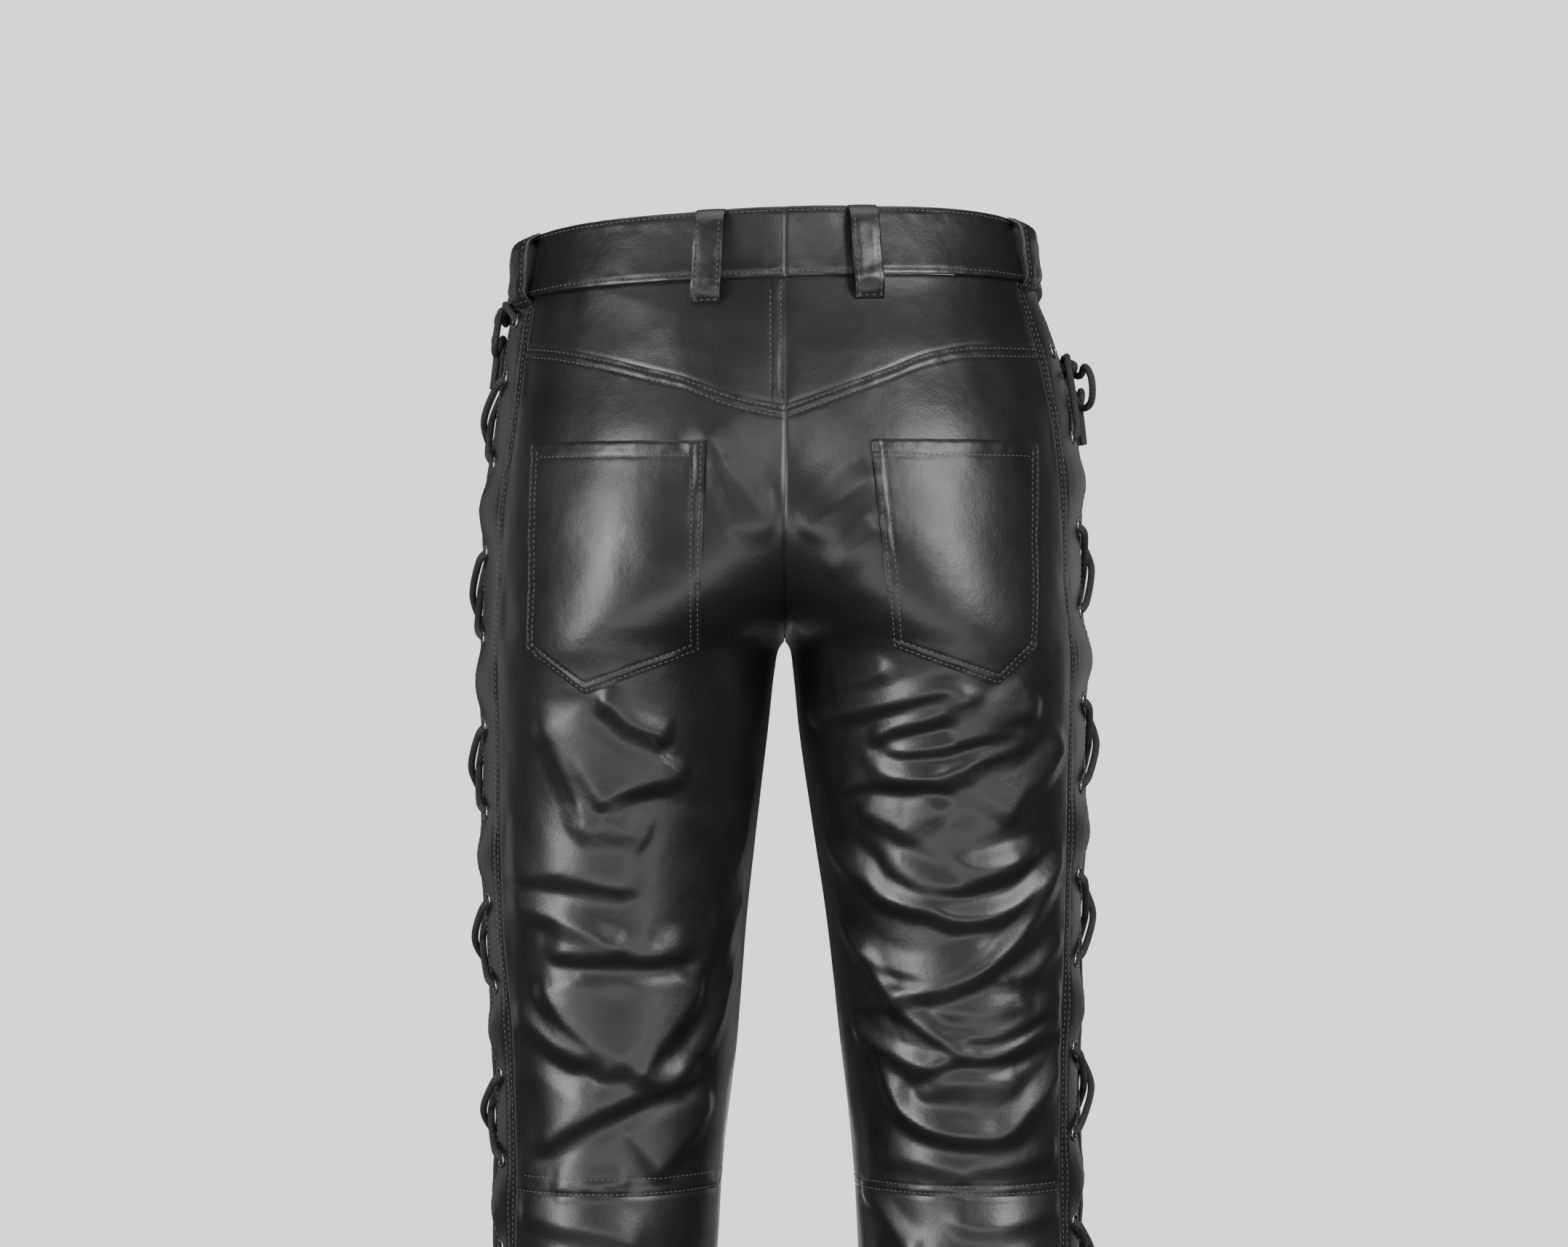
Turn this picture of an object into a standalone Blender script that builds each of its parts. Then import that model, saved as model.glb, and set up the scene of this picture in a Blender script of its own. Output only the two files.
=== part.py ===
"""Faux leather trousers with laced sides, standing open as they are worn. Metres, +Z up.

The front faces -Y and the wearer's left is +X. The origin is the middle of the waist, level with the top
of the waistband at the centre back. Every cloth piece is a sheet of points on one garment surface, made a
wall inwards from it.
"""

from collections import namedtuple
from itertools import product
import math

import bpy
from mathutils import Vector
import numpy as np

MM = 0.001
LEFT, RIGHT = 1, -1
BACK, FRONT = 1, -1
SIDE_NAMES = {LEFT: "left", RIGHT: "right"}
FACE_NAMES = {BACK: "back", FRONT: "front"}

# Cloth
CLOTH = 1.6 * MM
TONGUE_CLOTH = 1.4 * MM
BAND_CLOTH = 3.0 * MM
BAND_PROUD = 1.4 * MM
LOOP_CLOTH = 2.0 * MM
SEAM_HALF_GAP = 0.2 * MM
LAID_ON = 0.7 * MM

# Heights, from the top of the waistband at the centre back
FRONT_DROP = 40 * MM
DROP_POWER = 1.5
WAIST_TILT = 0.035
BAND_HEIGHT_SIDE = 36 * MM
BAND_HEIGHT_EXTRA = 6 * MM
CROTCH = -258 * MM
KNEE = -592 * MM
HEM = -1050 * MM

# One row for each height: how far each leg reaches out to its side and in towards the middle, and how far
# the surface stands back and forward. A negative inner reach runs past the middle, where the centre seam
# cuts it. side is where the outer seam line lies, front to back. All in millimetres.
Section = namedtuple("Section", "z left_out left_in right_out right_in back front side")
SECTIONS = [
    Section(20, 166, -166, 150.5, -150.5, 108, 110, 0),
    Section(0, 166, -166, 151, -151, 112, 112, 0),
    Section(-40, 167, -165, 155, -153, 119, 116, 1),
    Section(-90, 174, -152, 171, -150, 134, 123, 3),
    Section(-140, 180, -122, 180, -122, 146, 127, 5),
    Section(-190, 184.5, -84, 182, -84, 150, 126, 6),
    Section(-225, 185, -48, 182, -48, 146, 122, 6),
    Section(-245, 185.5, -18, 183, -18, 141, 118, 6),
    Section(-258, 186, 0, 184, 0, 136, 115, 6),
    Section(-275, 186, 5, 185, 4, 130, 113, 5),
    Section(-310, 186, 10, 185, 8.5, 119, 108, 4),
    Section(-370, 186, 17, 184.5, 17, 106, 101, 2),
    Section(-430, 184.5, 23.5, 183, 26, 98, 95, 1),
    Section(-500, 179.5, 29, 182, 34, 89, 89, 0),
    Section(-590, 178.5, 39, 182.5, 43, 79, 83, -3),
    Section(-700, 181, 44, 185, 48, 80, 72, 1),
    Section(-820, 184, 50, 187, 54, 80, 62, 6),
    Section(-950, 187, 55, 189, 58, 72, 60, 6),
    Section(-1070, 190, 58, 192, 60, 68, 66, 2),
]

# How far round from the outer seam line each eyelet strip is sewn to its panel.
SeamArc = namedtuple("SeamArc", "z arc")
SEAM_ARCS = [
    SeamArc(0, 52),
    SeamArc(-60, 56),
    SeamArc(-130, 66),
    SeamArc(-220, 68),
    SeamArc(-320, 62),
    SeamArc(-460, 55),
    SeamArc(-600, 54),
    SeamArc(-800, 50),
    SeamArc(-1070, 47),
]

# The yoke seam seen from behind: how far from the middle, and its height.
YokePoint = namedtuple("YokePoint", "x left_z right_z")
YOKE_SEAM = [
    YokePoint(0, -119, -119),
    YokePoint(30, -112.5, -108),
    YokePoint(60, -101.5, -97),
    YokePoint(85, -95, -87),
    YokePoint(112, -88, -81.5),
    YokePoint(150, -80.5, -80),
    YokePoint(190, -78, -79),
]

# Lacing
STRIP_EDGE = 27 * MM
EYELET_ARC = 36 * MM
EYELET_PITCH = 52.9 * MM
HOLE_HALF_WIDTH = 4.0 * MM
HOLE_HALF_HEIGHT = 5.3 * MM
STRIP_LIFT = 1.0 * MM
STRIP_BULGE = 3.5 * MM
TONGUE_UNDER = -6.8 * MM
TONGUE_BULGE = 2.4 * MM
TONGUE_MIDDLE = -1.0 * MM
TONGUE_INSET = 7 * MM
TONGUE_TOP_GAP = 1.4 * MM
TONGUE_FLAT_ARC = 13 * MM
TONGUE_UNDER_ARC = 25 * MM
LACE_DIAMETER = 4.3 * MM
LACE_INSIDE = -3.6 * MM
LACE_OUTSIDE = 4.7 * MM
HOLE_MIDDLE = -0.3 * MM
INSIDE_STEP = 4 * MM
OUTSIDE_STEP = 4.5 * MM
OUTSIDE_ARC = 34.5 * MM
LACE_UNDER_CROSS = 3.4 * MM
LACE_OVER_CROSS = 7.9 * MM
CROSS_ARC = 7 * MM

# The eyelet rows of each side, top to bottom. The lace comes out of its first row to be tied, crosses over
# the gap between rows n and n + 1 where n - first_cross is even, and runs inside the strips between the
# others. The top row of a front strip is lower where the waistband is. The tie lies at its own height and
# stands out by a lift.
Lacing = namedtuple("Lacing", "top_back top_front second_row count first_row first_cross tie_height tie_lift")
LACINGS = {
    LEFT: Lacing(-64 * MM, -78 * MM, -98 * MM, 19, 0, 1, -52 * MM, 1.8 * MM),
    RIGHT: Lacing(-82 * MM, -82 * MM, -134.9 * MM, 18, 1, 2, -88 * MM, 2.4 * MM),
}

# Half of the tie at the top of a lace: how far round, up and out each point of one end lies. The other end
# is its mirror image, one thickness further out or in at each crossing. The last four points are its tail.
TiePoint = namedtuple("TiePoint", "round up out other_out")
TIE = [
    TiePoint(12, 0, 3.8, 3.8),
    TiePoint(5, -1.5, 4.0, 5.4),
    TiePoint(0, -3, 3.4, 7.8),
    TiePoint(-5, -6, 4.4, 6.8),
    TiePoint(0, -10, 7.8, 3.6),
    TiePoint(6, -11, 8.0, 5.6),
    TiePoint(15, -5, 8.0, 8.4),
    TiePoint(23, -8, 8.2, 8.8),
    TiePoint(26, -18, 7.8, 8.4),
    TiePoint(22, -28, 7.0, 7.6),
    TiePoint(14, -29, 6.8, 7.6),
    TiePoint(8, -20, 7.8, 10.2),
    TiePoint(0, -14, 7.6, 11.8),
    TiePoint(-5, -19, 6.4, 12.0),
    TiePoint(-6, -27, 5.4, 9.6),
    TiePoint(-7, -38, 4.6, 6.0),
    TiePoint(-8, -50, 4.2, 4.6),
]

# Back pockets seen from behind: the inner and outer edges at the top and above the point, in millimetres.
Pocket = namedtuple("Pocket", "inner_top outer_top top inner_low outer_low low point point_z")
POCKETS = {
    LEFT: Pocket(46.5, 150, -140, 51, 153, -263, 116, -289),
    RIGHT: Pocket(50.5, 151, -139, 64, 149, -261, 124, -284),
}

# Belt loops: the face they are on, how far from the middle or, where they lie on a side strip, round from
# the outer seam line, and how far their tails reach below the waistband.
BeltLoop = namedtuple("BeltLoop", "name side face across on_strip tail")
BELT_LOOPS = [
    BeltLoop("belt_loop_back_left", LEFT, BACK, 44 * MM, False, 15 * MM),
    BeltLoop("belt_loop_back_right", RIGHT, BACK, 46.5 * MM, False, 15 * MM),
    BeltLoop("belt_loop_side_left", LEFT, BACK, 45 * MM, True, 5 * MM),
    BeltLoop("belt_loop_side_right", RIGHT, BACK, 43 * MM, True, 5 * MM),
    BeltLoop("belt_loop_front_left", LEFT, FRONT, 78 * MM, False, 12 * MM),
    BeltLoop("belt_loop_front_right", RIGHT, FRONT, 78 * MM, False, 12 * MM),
]
LOOP_WIDTH = 17 * MM
LOOP_ROOM = 6.5 * MM

# Fly and button
FLY_WIDTH = 38 * MM
FLY_FOOT = -178 * MM
LAP_LENGTH = 28 * MM
LAP_LIFT = 3.4 * MM
BUTTON_RADIUS = 8.5 * MM
BUTTON_HEIGHT = 3.0 * MM

# The largest folds. Each runs through four points, given from the middle outwards and by height, has a
# half width, and rises from the cloth or, where rise is negative, sinks into it. All in millimetres.
Fold = namedtuple("Fold", "side face x0 z0 x1 z1 x2 z2 x3 z3 half_width rise")
FOLDS = [
    Fold(LEFT, BACK, 141, -288, 118, -290, 82, -302, 60, -322, 10, 4.0),
    Fold(LEFT, BACK, 146, -300, 118, -303, 90, -314, 66, -330, 10, -4.5),
    Fold(LEFT, BACK, 60, -330, 76, -338, 96, -344, 118, -344, 11, 3.0),
    Fold(LEFT, BACK, 144, -300, 138, -325, 130, -348, 118, -366, 11, 3.0),
    Fold(LEFT, BACK, 104, -350, 80, -356, 52, -360, 26, -358, 11, -3.5),
    Fold(LEFT, BACK, 170, -400, 146, -408, 118, -411, 88, -411, 11, -3.5),
    Fold(LEFT, BACK, 168, -414, 146, -421, 122, -431, 98, -441, 11, 3.5),
    Fold(LEFT, BACK, 140, -447, 112, -455, 76, -457, 44, -453, 11, -4.5),
    Fold(LEFT, BACK, 38, -438, 50, -470, 68, -502, 88, -528, 12, -3.0),
    Fold(LEFT, BACK, 164, -493, 146, -503, 122, -512, 92, -515, 12, -3.0),
    Fold(LEFT, BACK, 44, -518, 78, -530, 116, -550, 152, -578, 12, -4.5),
    Fold(LEFT, BACK, 44, -500, 80, -512, 118, -534, 156, -560, 12, 3.0),
    Fold(RIGHT, BACK, 14, -306, 50, -303, 84, -297, 122, -284, 11, 3.5),
    Fold(RIGHT, BACK, 118, -290, 90, -298, 66, -306, 50, -318, 10, 3.5),
    Fold(RIGHT, BACK, 50, -322, 82, -339, 116, -337, 150, -314, 11, 4.5),
    Fold(RIGHT, BACK, 56, -330, 84, -326, 114, -324, 146, -314, 9, -3.5),
    Fold(RIGHT, BACK, 98, -352, 122, -345, 146, -332, 170, -316, 11, -3.5),
    Fold(RIGHT, BACK, 32, -347, 58, -356, 88, -360, 120, -366, 11, 3.5),
    Fold(RIGHT, BACK, 20, -386, 44, -401, 74, -412, 108, -416, 11, -3.5),
    Fold(RIGHT, BACK, 34, -428, 66, -462, 118, -456, 166, -392, 12, 5.0),
    Fold(RIGHT, BACK, 38, -448, 70, -481, 124, -474, 168, -416, 11, -3.5),
    Fold(RIGHT, BACK, 72, -478, 102, -503, 136, -500, 172, -468, 12, 4.5),
    Fold(RIGHT, BACK, 40, -492, 66, -508, 96, -516, 130, -516, 11, -3.0),
    Fold(RIGHT, BACK, 62, -532, 92, -556, 132, -552, 168, -505, 12, 4.5),
    Fold(LEFT, FRONT, 14, -262, 50, -252, 92, -226, 130, -190, 12, 3.0),
    Fold(LEFT, FRONT, 24, -300, 62, -300, 104, -288, 146, -262, 12, 3.0),
    Fold(LEFT, FRONT, 34, -520, 70, -532, 112, -534, 152, -520, 12, -3.5),
    Fold(LEFT, FRONT, 40, -560, 78, -572, 116, -572, 152, -558, 12, 3.5),
    Fold(RIGHT, FRONT, 14, -268, 48, -256, 90, -232, 128, -200, 12, 3.0),
    Fold(RIGHT, FRONT, 26, -310, 64, -312, 106, -298, 148, -270, 12, 3.0),
    Fold(RIGHT, FRONT, 38, -505, 74, -520, 116, -524, 156, -508, 12, -3.5),
    Fold(RIGHT, FRONT, 44, -550, 80, -564, 120, -564, 156, -548, 12, 3.5),
    Fold(LEFT, BACK, 52, -650, 90, -662, 130, -660, 164, -642, 13, 3.5),
    Fold(LEFT, BACK, 56, -930, 96, -944, 132, -944, 168, -926, 13, 3.5),
    Fold(LEFT, FRONT, 60, -965, 96, -980, 134, -978, 170, -960, 13, 4.0),
    Fold(RIGHT, BACK, 58, -640, 94, -654, 132, -654, 168, -634, 13, 3.5),
    Fold(RIGHT, BACK, 60, -945, 98, -960, 136, -958, 172, -938, 13, 3.5),
    Fold(RIGHT, FRONT, 64, -950, 100, -966, 138, -964, 174, -946, 13, 4.0),
]
SPINE_SAMPLES = 25
SHARP_ANGLE = math.radians(40)
FOLD_END = 0.28
SEAM_HOLD = 0.09

LEATHER_COLOUR = (0.012, 0.012, 0.013, 1.0)
TONGUE_COLOUR = (0.010, 0.010, 0.011, 1.0)
LACE_COLOUR = (0.006, 0.006, 0.006, 1.0)
METAL_COLOUR = (0.10, 0.10, 0.105, 1.0)


def clear_scene():
    for old in list(bpy.data.objects):
        bpy.data.objects.remove(old)


def material(name, colour, roughness, metallic=0.0):
    made = bpy.data.materials.new(name)
    made.use_nodes = True
    shader = made.node_tree.nodes["Principled BSDF"]
    shader.inputs["Base Color"].default_value = colour
    shader.inputs["Roughness"].default_value = roughness
    shader.inputs["Metallic"].default_value = metallic
    return made


def smooth_step(low, high, value):
    share = np.clip((value - low) / (high - low), 0, 1)
    return share * share * (3 - 2 * share)


def smooth_column(rows, key, name, at):
    """One column of a table at the values `at`, as a curve through its rows that never overshoots them."""
    rows = sorted(rows, key=lambda row: getattr(row, key))
    knots = np.array([getattr(row, key) for row in rows]) * MM
    values = np.array([getattr(row, name) for row in rows]) * MM
    steps = np.diff(knots)
    slopes = np.diff(values) / steps
    tangents = np.concatenate([slopes[:1], np.zeros(len(slopes) - 1), slopes[-1:]])
    for i in range(1, len(slopes)):
        before, after = slopes[i - 1], slopes[i]
        if before * after > 0:
            heavy, light = 2 * steps[i] + steps[i - 1], steps[i] + 2 * steps[i - 1]
            tangents[i] = (heavy + light) / (heavy / before + light / after)
    at = np.clip(at, knots[0], knots[-1])
    i = np.clip(np.searchsorted(knots, at) - 1, 0, len(steps) - 1)
    t = (at - knots[i]) / steps[i]
    start = (1 + 2 * t) * (1 - t) ** 2 * values[i] + t * (1 - t) ** 2 * steps[i] * tangents[i]
    end = t * t * (3 - 2 * t) * values[i + 1] - t * t * (1 - t) * steps[i] * tangents[i + 1]
    return start + end


def section(side, z):
    """The leg's oval at each height: its middle and half width across, its seam line and its two depths."""
    name = SIDE_NAMES[side]
    outer = smooth_column(SECTIONS, "z", name + "_out", z)
    inner = smooth_column(SECTIONS, "z", name + "_in", z)
    line = smooth_column(SECTIONS, "z", "side", z)
    back = smooth_column(SECTIONS, "z", "back", z) - line
    front = smooth_column(SECTIONS, "z", "front", z) + line
    return (outer + inner) / 2, (outer - inner) / 2, line, back, front


def skin(side, angle, z):
    """Points of the smooth garment. The angle is 0 on the outer seam line, and positive towards the back."""
    middle, reach, line, back, front = section(side, z)
    depth = np.where(angle >= 0, back, front)
    x = side * (middle + reach * np.cos(angle))
    return np.stack([x, line + depth * np.sin(angle), z + 0 * angle], axis=-1)


def skin_normal(side, angle, z):
    nudge = 1e-4
    round_it = skin(side, angle + nudge, z) - skin(side, angle - nudge, z)
    up_it = skin(side, angle, z + nudge) - skin(side, angle, z - nudge)
    normal = side * np.cross(round_it, up_it)
    return normal / np.linalg.norm(normal, axis=-1, keepdims=True)


def arc_rate(side, angle, z):
    """How fast the surface is passed as the angle grows, in metres a radian."""
    _, reach, _, back, front = section(side, z)
    depth = np.where(angle >= 0, back, front)
    return np.sqrt((reach * np.sin(angle)) ** 2 + (depth * np.cos(angle)) ** 2)


def angle_of_arc(side, face, arc, z):
    """The angle at a distance round the surface from the outer seam line, by walking it in small steps."""
    steps = 12
    angle = np.zeros_like(arc + z)
    for _ in range(steps):
        half_way = angle + face * arc / steps / 2 / arc_rate(side, angle, z)
        angle = angle + face * arc / steps / arc_rate(side, half_way, z)
    return angle


def angle_round(side, arc, z):
    """As angle_of_arc, for distances that are positive towards the back and negative towards the front."""
    back = angle_of_arc(side, BACK, np.abs(arc), z)
    return np.where(arc >= 0, back, angle_of_arc(side, FRONT, np.abs(arc), z))


def angle_of_x(side, face, x, z):
    """The angle where the surface is a distance x from the middle plane."""
    middle, reach, *_ = section(side, z)
    return face * np.arccos(np.clip((x - middle) / reach, -1, 1))


def seam_angle(side, face, z):
    return angle_of_arc(side, face, smooth_column(SEAM_ARCS, "z", "arc", z), z)


def end_angle(side, face, z):
    """The angle of the centre seam above the crotch, and of the inseam below it."""
    middle, reach, _, back, front = section(side, z)
    cut = np.arccos(np.clip((SEAM_HALF_GAP - middle) / reach, -1, 1))
    inseam = math.pi - SEAM_HALF_GAP / np.where(face > 0, back, front)
    return face * np.minimum(cut, inseam)


def through_points(fold, share):
    """The cubic through a fold's four points."""
    points = np.array([[fold.x0, fold.z0], [fold.x1, fold.z1], [fold.x2, fold.z2], [fold.x3, fold.z3]]) * MM
    knots = (0, 1 / 3, 2 / 3, 1)
    curve = 0
    for i, knot in enumerate(knots):
        weight = np.ones_like(share)
        for other in knots[:i] + knots[i + 1:]:
            weight = weight * (share - other) / (knot - other)
        curve = curve + weight[:, None] * points[i]
    return curve


def relief(side, face, angle, z):
    """How far the folds lift the cloth at each point. Seams and edges hold it down."""
    base = skin(side, angle, z)
    lift = np.zeros(base.shape[:-1])
    for fold in FOLDS:
        if (fold.side, fold.face) != (side, face):
            continue
        share = np.linspace(0, 1, SPINE_SAMPLES)
        route = through_points(fold, share)
        spine = skin(side, angle_of_x(side, face, route[:, 0], route[:, 1]), route[:, 1])
        away = np.linalg.norm(base[..., None, :] - spine, axis=-1)
        nearest = share[np.argmin(away, axis=-1)]
        held = smooth_step(0, FOLD_END, nearest) * smooth_step(0, FOLD_END, 1 - nearest)
        lift += fold.rise * MM * held * np.exp(-((np.min(away, axis=-1) / (fold.half_width * MM)) ** 2))
    seam, end = seam_angle(side, face, z), end_angle(side, face, z)
    across = (angle - seam) / (end - seam)
    return lift * smooth_step(0, SEAM_HOLD, across) * smooth_step(0, SEAM_HOLD, 1 - across)


def cloth_points(side, face, angle, z, lift=0.0):
    """Points of the folded cloth and the smooth surface's normals there."""
    normal = skin_normal(side, angle, z)
    height = relief(side, face, angle, z) + lift
    return skin(side, angle, z) + height[..., None] * normal, normal


def smooth_points(side, angle, z, lift):
    """Points at a height over the smooth surface, with no folds, and the normals there."""
    normal = skin_normal(side, angle, z)
    return skin(side, angle, z) + (lift + 0 * angle)[..., None] * normal, normal


def wall(name, points, normals, thickness, look, holes=()):
    """A cloth piece: a grid of points as its outer face, the same grid moved inwards, and a rim between.

    holes are the (row, column) cells left open.
    """
    rows, columns = points.shape[:2]
    cells = [(r, c) for r in range(rows - 1) for c in range(columns - 1) if (r, c) not in holes]
    outer = []
    for r, c in cells:
        here, right = r * columns + c, r * columns + c + 1
        below, far = here + columns, right + columns
        outer += [(here, below, far), (here, far, right)]
    flat, flat_normals = points.reshape(-1, 3), normals.reshape(-1, 3)
    corners = flat[np.array(outer)]
    facing = np.cross(corners[:, 1] - corners[:, 0], corners[:, 2] - corners[:, 0])
    if np.sum(facing * flat_normals[np.array(outer)[:, 0]]) < 0:
        outer = [(a, c, b) for a, b, c in outer]
    count = rows * columns
    inner = [(a + count, c + count, b + count) for a, b, c in outer]
    edges = {edge for a, b, c in outer for edge in ((a, b), (b, c), (c, a))}
    rim = [(b, a, a + count, b + count) for a, b in sorted(edges) if (b, a) not in edges]
    mesh = bpy.data.meshes.new(name)
    mesh.from_pydata(np.vstack([flat, flat - thickness * flat_normals]).tolist(), [], outer + inner + rim)
    mesh.shade_smooth()
    mesh.set_sharp_from_angle(angle=SHARP_ANGLE)
    mesh.materials.append(look)
    piece = bpy.data.objects.new(name, mesh)
    bpy.context.scene.collection.objects.link(piece)
    return piece


def waist_top(side, angle, x):
    """The top of the waistband: lower at the front, and lower on the left, as the hips lean."""
    return -FRONT_DROP * ((1 - np.sin(angle)) / 2) ** DROP_POWER - WAIST_TILT * side * x


def band_height(angle):
    return BAND_HEIGHT_SIDE + BAND_HEIGHT_EXTRA * np.abs(np.sin(angle))


def waist_line(side, angle, below_top):
    """Heights at a distance under the top of the waistband."""
    x = np.abs(skin(side, angle, np.zeros_like(angle))[..., 0])
    return waist_top(side, angle, x) - below_top


def band_foot(side, angle):
    return waist_line(side, angle, band_height(angle))


def yoke_line(side, x):
    return smooth_column(YOKE_SEAM, "x", SIDE_NAMES[side] + "_z", x)


def panel_angles(side, face, share, z):
    seam, end = seam_angle(side, face, z), end_angle(side, face, z)
    first = seam + face * SEAM_HALF_GAP / arc_rate(side, seam, z)
    return first + share * (end - first)


def panel_grid(side, face, share, top, levels, blend):
    """Angles and heights of a panel whose top row follows the function top and whose others flatten out."""
    z = np.full(len(share), levels[0])
    for _ in range(8):
        angle = panel_angles(side, face, share, z)
        z = top(angle, z)
    fade = np.clip(1 - (levels[0] - levels) / blend, 0, 1)
    heights = levels[:, None] + fade[:, None] * (z - levels[0])[None, :]
    return panel_angles(side, face, share[None, :] + 0 * heights, heights), heights


def add_panel(name, side, face, share, top, levels, blend, look):
    angle, z = panel_grid(side, face, share, top, levels, blend)
    points, normals = cloth_points(side, face, angle, z)
    wall(name, points, normals, CLOTH, look)


def add_upper_panels(look):
    """The fronts and backs, from the yoke or waistband down to the knee seam."""
    near_crotch = np.array([-238, -248, -254, CROTCH / MM, -268]) * MM
    for side in (LEFT, RIGHT):
        def back_top(angle, z, side=side):
            return yoke_line(side, np.abs(skin(side, angle, z)[..., 0])) - SEAM_HALF_GAP

        def front_top(angle, z, side=side):
            return band_foot(side, angle) - SEAM_HALF_GAP

        back_levels = np.concatenate([
            np.linspace(-98, -224, 8) * MM, near_crotch, np.linspace(-284 * MM, KNEE + SEAM_HALF_GAP, 17)])
        front_levels = np.concatenate([
            np.linspace(-62, -222, 7) * MM, near_crotch, np.linspace(-290 * MM, KNEE + SEAM_HALF_GAP, 10)])
        name = SIDE_NAMES[side]
        add_panel("back_upper_" + name, side, BACK, np.linspace(0, 1, 14), back_top, back_levels, 100 * MM, look)
        add_panel("front_upper_" + name, side, FRONT, np.linspace(0, 1, 10), front_top, front_levels,
                  120 * MM, look)


def add_lower_panels(look):
    """The fronts and backs under the knee seam."""
    levels = np.linspace(KNEE - SEAM_HALF_GAP, HEM, 11)
    for side in (LEFT, RIGHT):
        for face, columns in ((BACK, 10), (FRONT, 9)):
            name = FACE_NAMES[face] + "_lower_" + SIDE_NAMES[side]
            add_panel(name, side, face, np.linspace(0, 1, columns), lambda angle, z: z, levels, 100 * MM, look)


def add_yokes(look):
    share = np.linspace(0, 1, 11)
    for side in (LEFT, RIGHT):
        low = np.full(len(share), YOKE_SEAM[3].left_z * MM)
        for _ in range(8):
            angle = panel_angles(side, BACK, share, low)
            low = yoke_line(side, np.abs(skin(side, angle, low)[..., 0])) + SEAM_HALF_GAP
        high = np.full(len(share), -BAND_HEIGHT_SIDE)
        for _ in range(8):
            high = band_foot(side, panel_angles(side, BACK, share, high)) - SEAM_HALF_GAP
        down = np.linspace(0, 1, 4)[:, None]
        z = high + down * (low - high)
        angle = panel_angles(side, BACK, share + 0 * z, z)
        points, normals = cloth_points(side, BACK, angle, z)
        wall("yoke_" + SIDE_NAMES[side], points, normals, CLOTH, look)


def add_waistband(look):
    """Two halves joined at the centre back. The left one laps over the right at the front."""
    for side in (LEFT, RIGHT):
        waist_z = np.array(-20 * MM)
        share = np.linspace(0, 1, 21)
        angle = (1 - 2 * share) * math.pi / 2
        down = np.linspace(SEAM_HALF_GAP / BAND_HEIGHT_SIDE, 1 - SEAM_HALF_GAP / BAND_HEIGHT_SIDE, 3)[:, None]
        z = waist_line(side, angle, down * band_height(angle))
        first, last = end_angle(side, BACK, z), end_angle(side, FRONT, z)
        lift = np.full(angle.shape, BAND_PROUD)
        if side == LEFT:
            lift = lift + LAP_LIFT * smooth_step(0.80, 0.97, share)
        points, normals = smooth_points(side, first + share * (last - first), z, lift)
        if side == LEFT:
            rate = arc_rate(RIGHT, -math.pi / 2, waist_z)
            over = end_angle(RIGHT, FRONT, waist_z) + np.linspace(0.2, 1, 4) * LAP_LENGTH / rate
            lap_z = waist_line(RIGHT, over, down * band_height(over))
            lap, lap_normals = smooth_points(RIGHT, over + 0 * lap_z, lap_z, np.full(4, BAND_PROUD + LAP_LIFT))
            points, normals = np.hstack([points, lap]), np.hstack([normals, lap_normals])
        wall("waistband_" + SIDE_NAMES[side], points, normals, BAND_CLOTH, look)


def eyelet_rows(side, face):
    lacing = LACINGS[side]
    top = lacing.top_back if face == BACK else lacing.top_front
    return [top] + [lacing.second_row - i * EYELET_PITCH for i in range(lacing.count - 1)]


def crosses(side, row):
    lacing = LACINGS[side]
    return lacing.first_cross <= row < lacing.count - 1 and (row - lacing.first_cross) % 2 == 0


def strip_lift(side, z, arc, bulge):
    """How far a strip's outer face stands off the smooth surface: none at its seam, most at its free edge."""
    seam = smooth_column(SEAM_ARCS, "z", "arc", z)
    return (STRIP_LIFT + bulge * STRIP_BULGE) * np.clip((seam - arc) / (seam - STRIP_EDGE), 0, 1)


def add_eyelet_strips(look):
    """The strips along the side gaps, with a hole for each eyelet. They stand off where the lace is inside."""
    for side, face in product((LEFT, RIGHT), (BACK, FRONT)):
        rows = eyelet_rows(side, face)
        lines = [(float(band_foot(side, seam_angle(side, face, np.array(rows[0])))), 0)]
        holes = []
        for i, row in enumerate(rows):
            holes.append((len(lines), 1))
            lines += [(row + HOLE_HALF_HEIGHT, 0), (row - HOLE_HALF_HEIGHT, 0)]
            if 0 < i < len(rows) - 1 and not crosses(side, i):
                lines.append(((row + rows[i + 1]) / 2, 1))
        lines.append((HEM, 0))
        z = np.array([line[0] for line in lines])[:, None]
        bulge = np.array([line[1] for line in lines])[:, None]
        seam = smooth_column(SEAM_ARCS, "z", "arc", z[:, 0]) - 1.5 * SEAM_HALF_GAP
        arc = np.stack([np.full(len(seam), STRIP_EDGE), np.full(len(seam), EYELET_ARC - HOLE_HALF_WIDTH),
                        np.full(len(seam), EYELET_ARC + HOLE_HALF_WIDTH), seam], axis=1)
        heights = z + 0 * arc
        heights[0] = band_foot(side, angle_of_arc(side, face, arc[0], heights[1])) - SEAM_HALF_GAP
        angle = angle_of_arc(side, face, arc, heights)
        points, normals = smooth_points(side, angle, heights, strip_lift(side, heights, arc, bulge))
        name = "eyelet_strip_" + FACE_NAMES[face] + "_" + SIDE_NAMES[side]
        wall(name, points, normals, CLOTH, look, holes)


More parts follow.
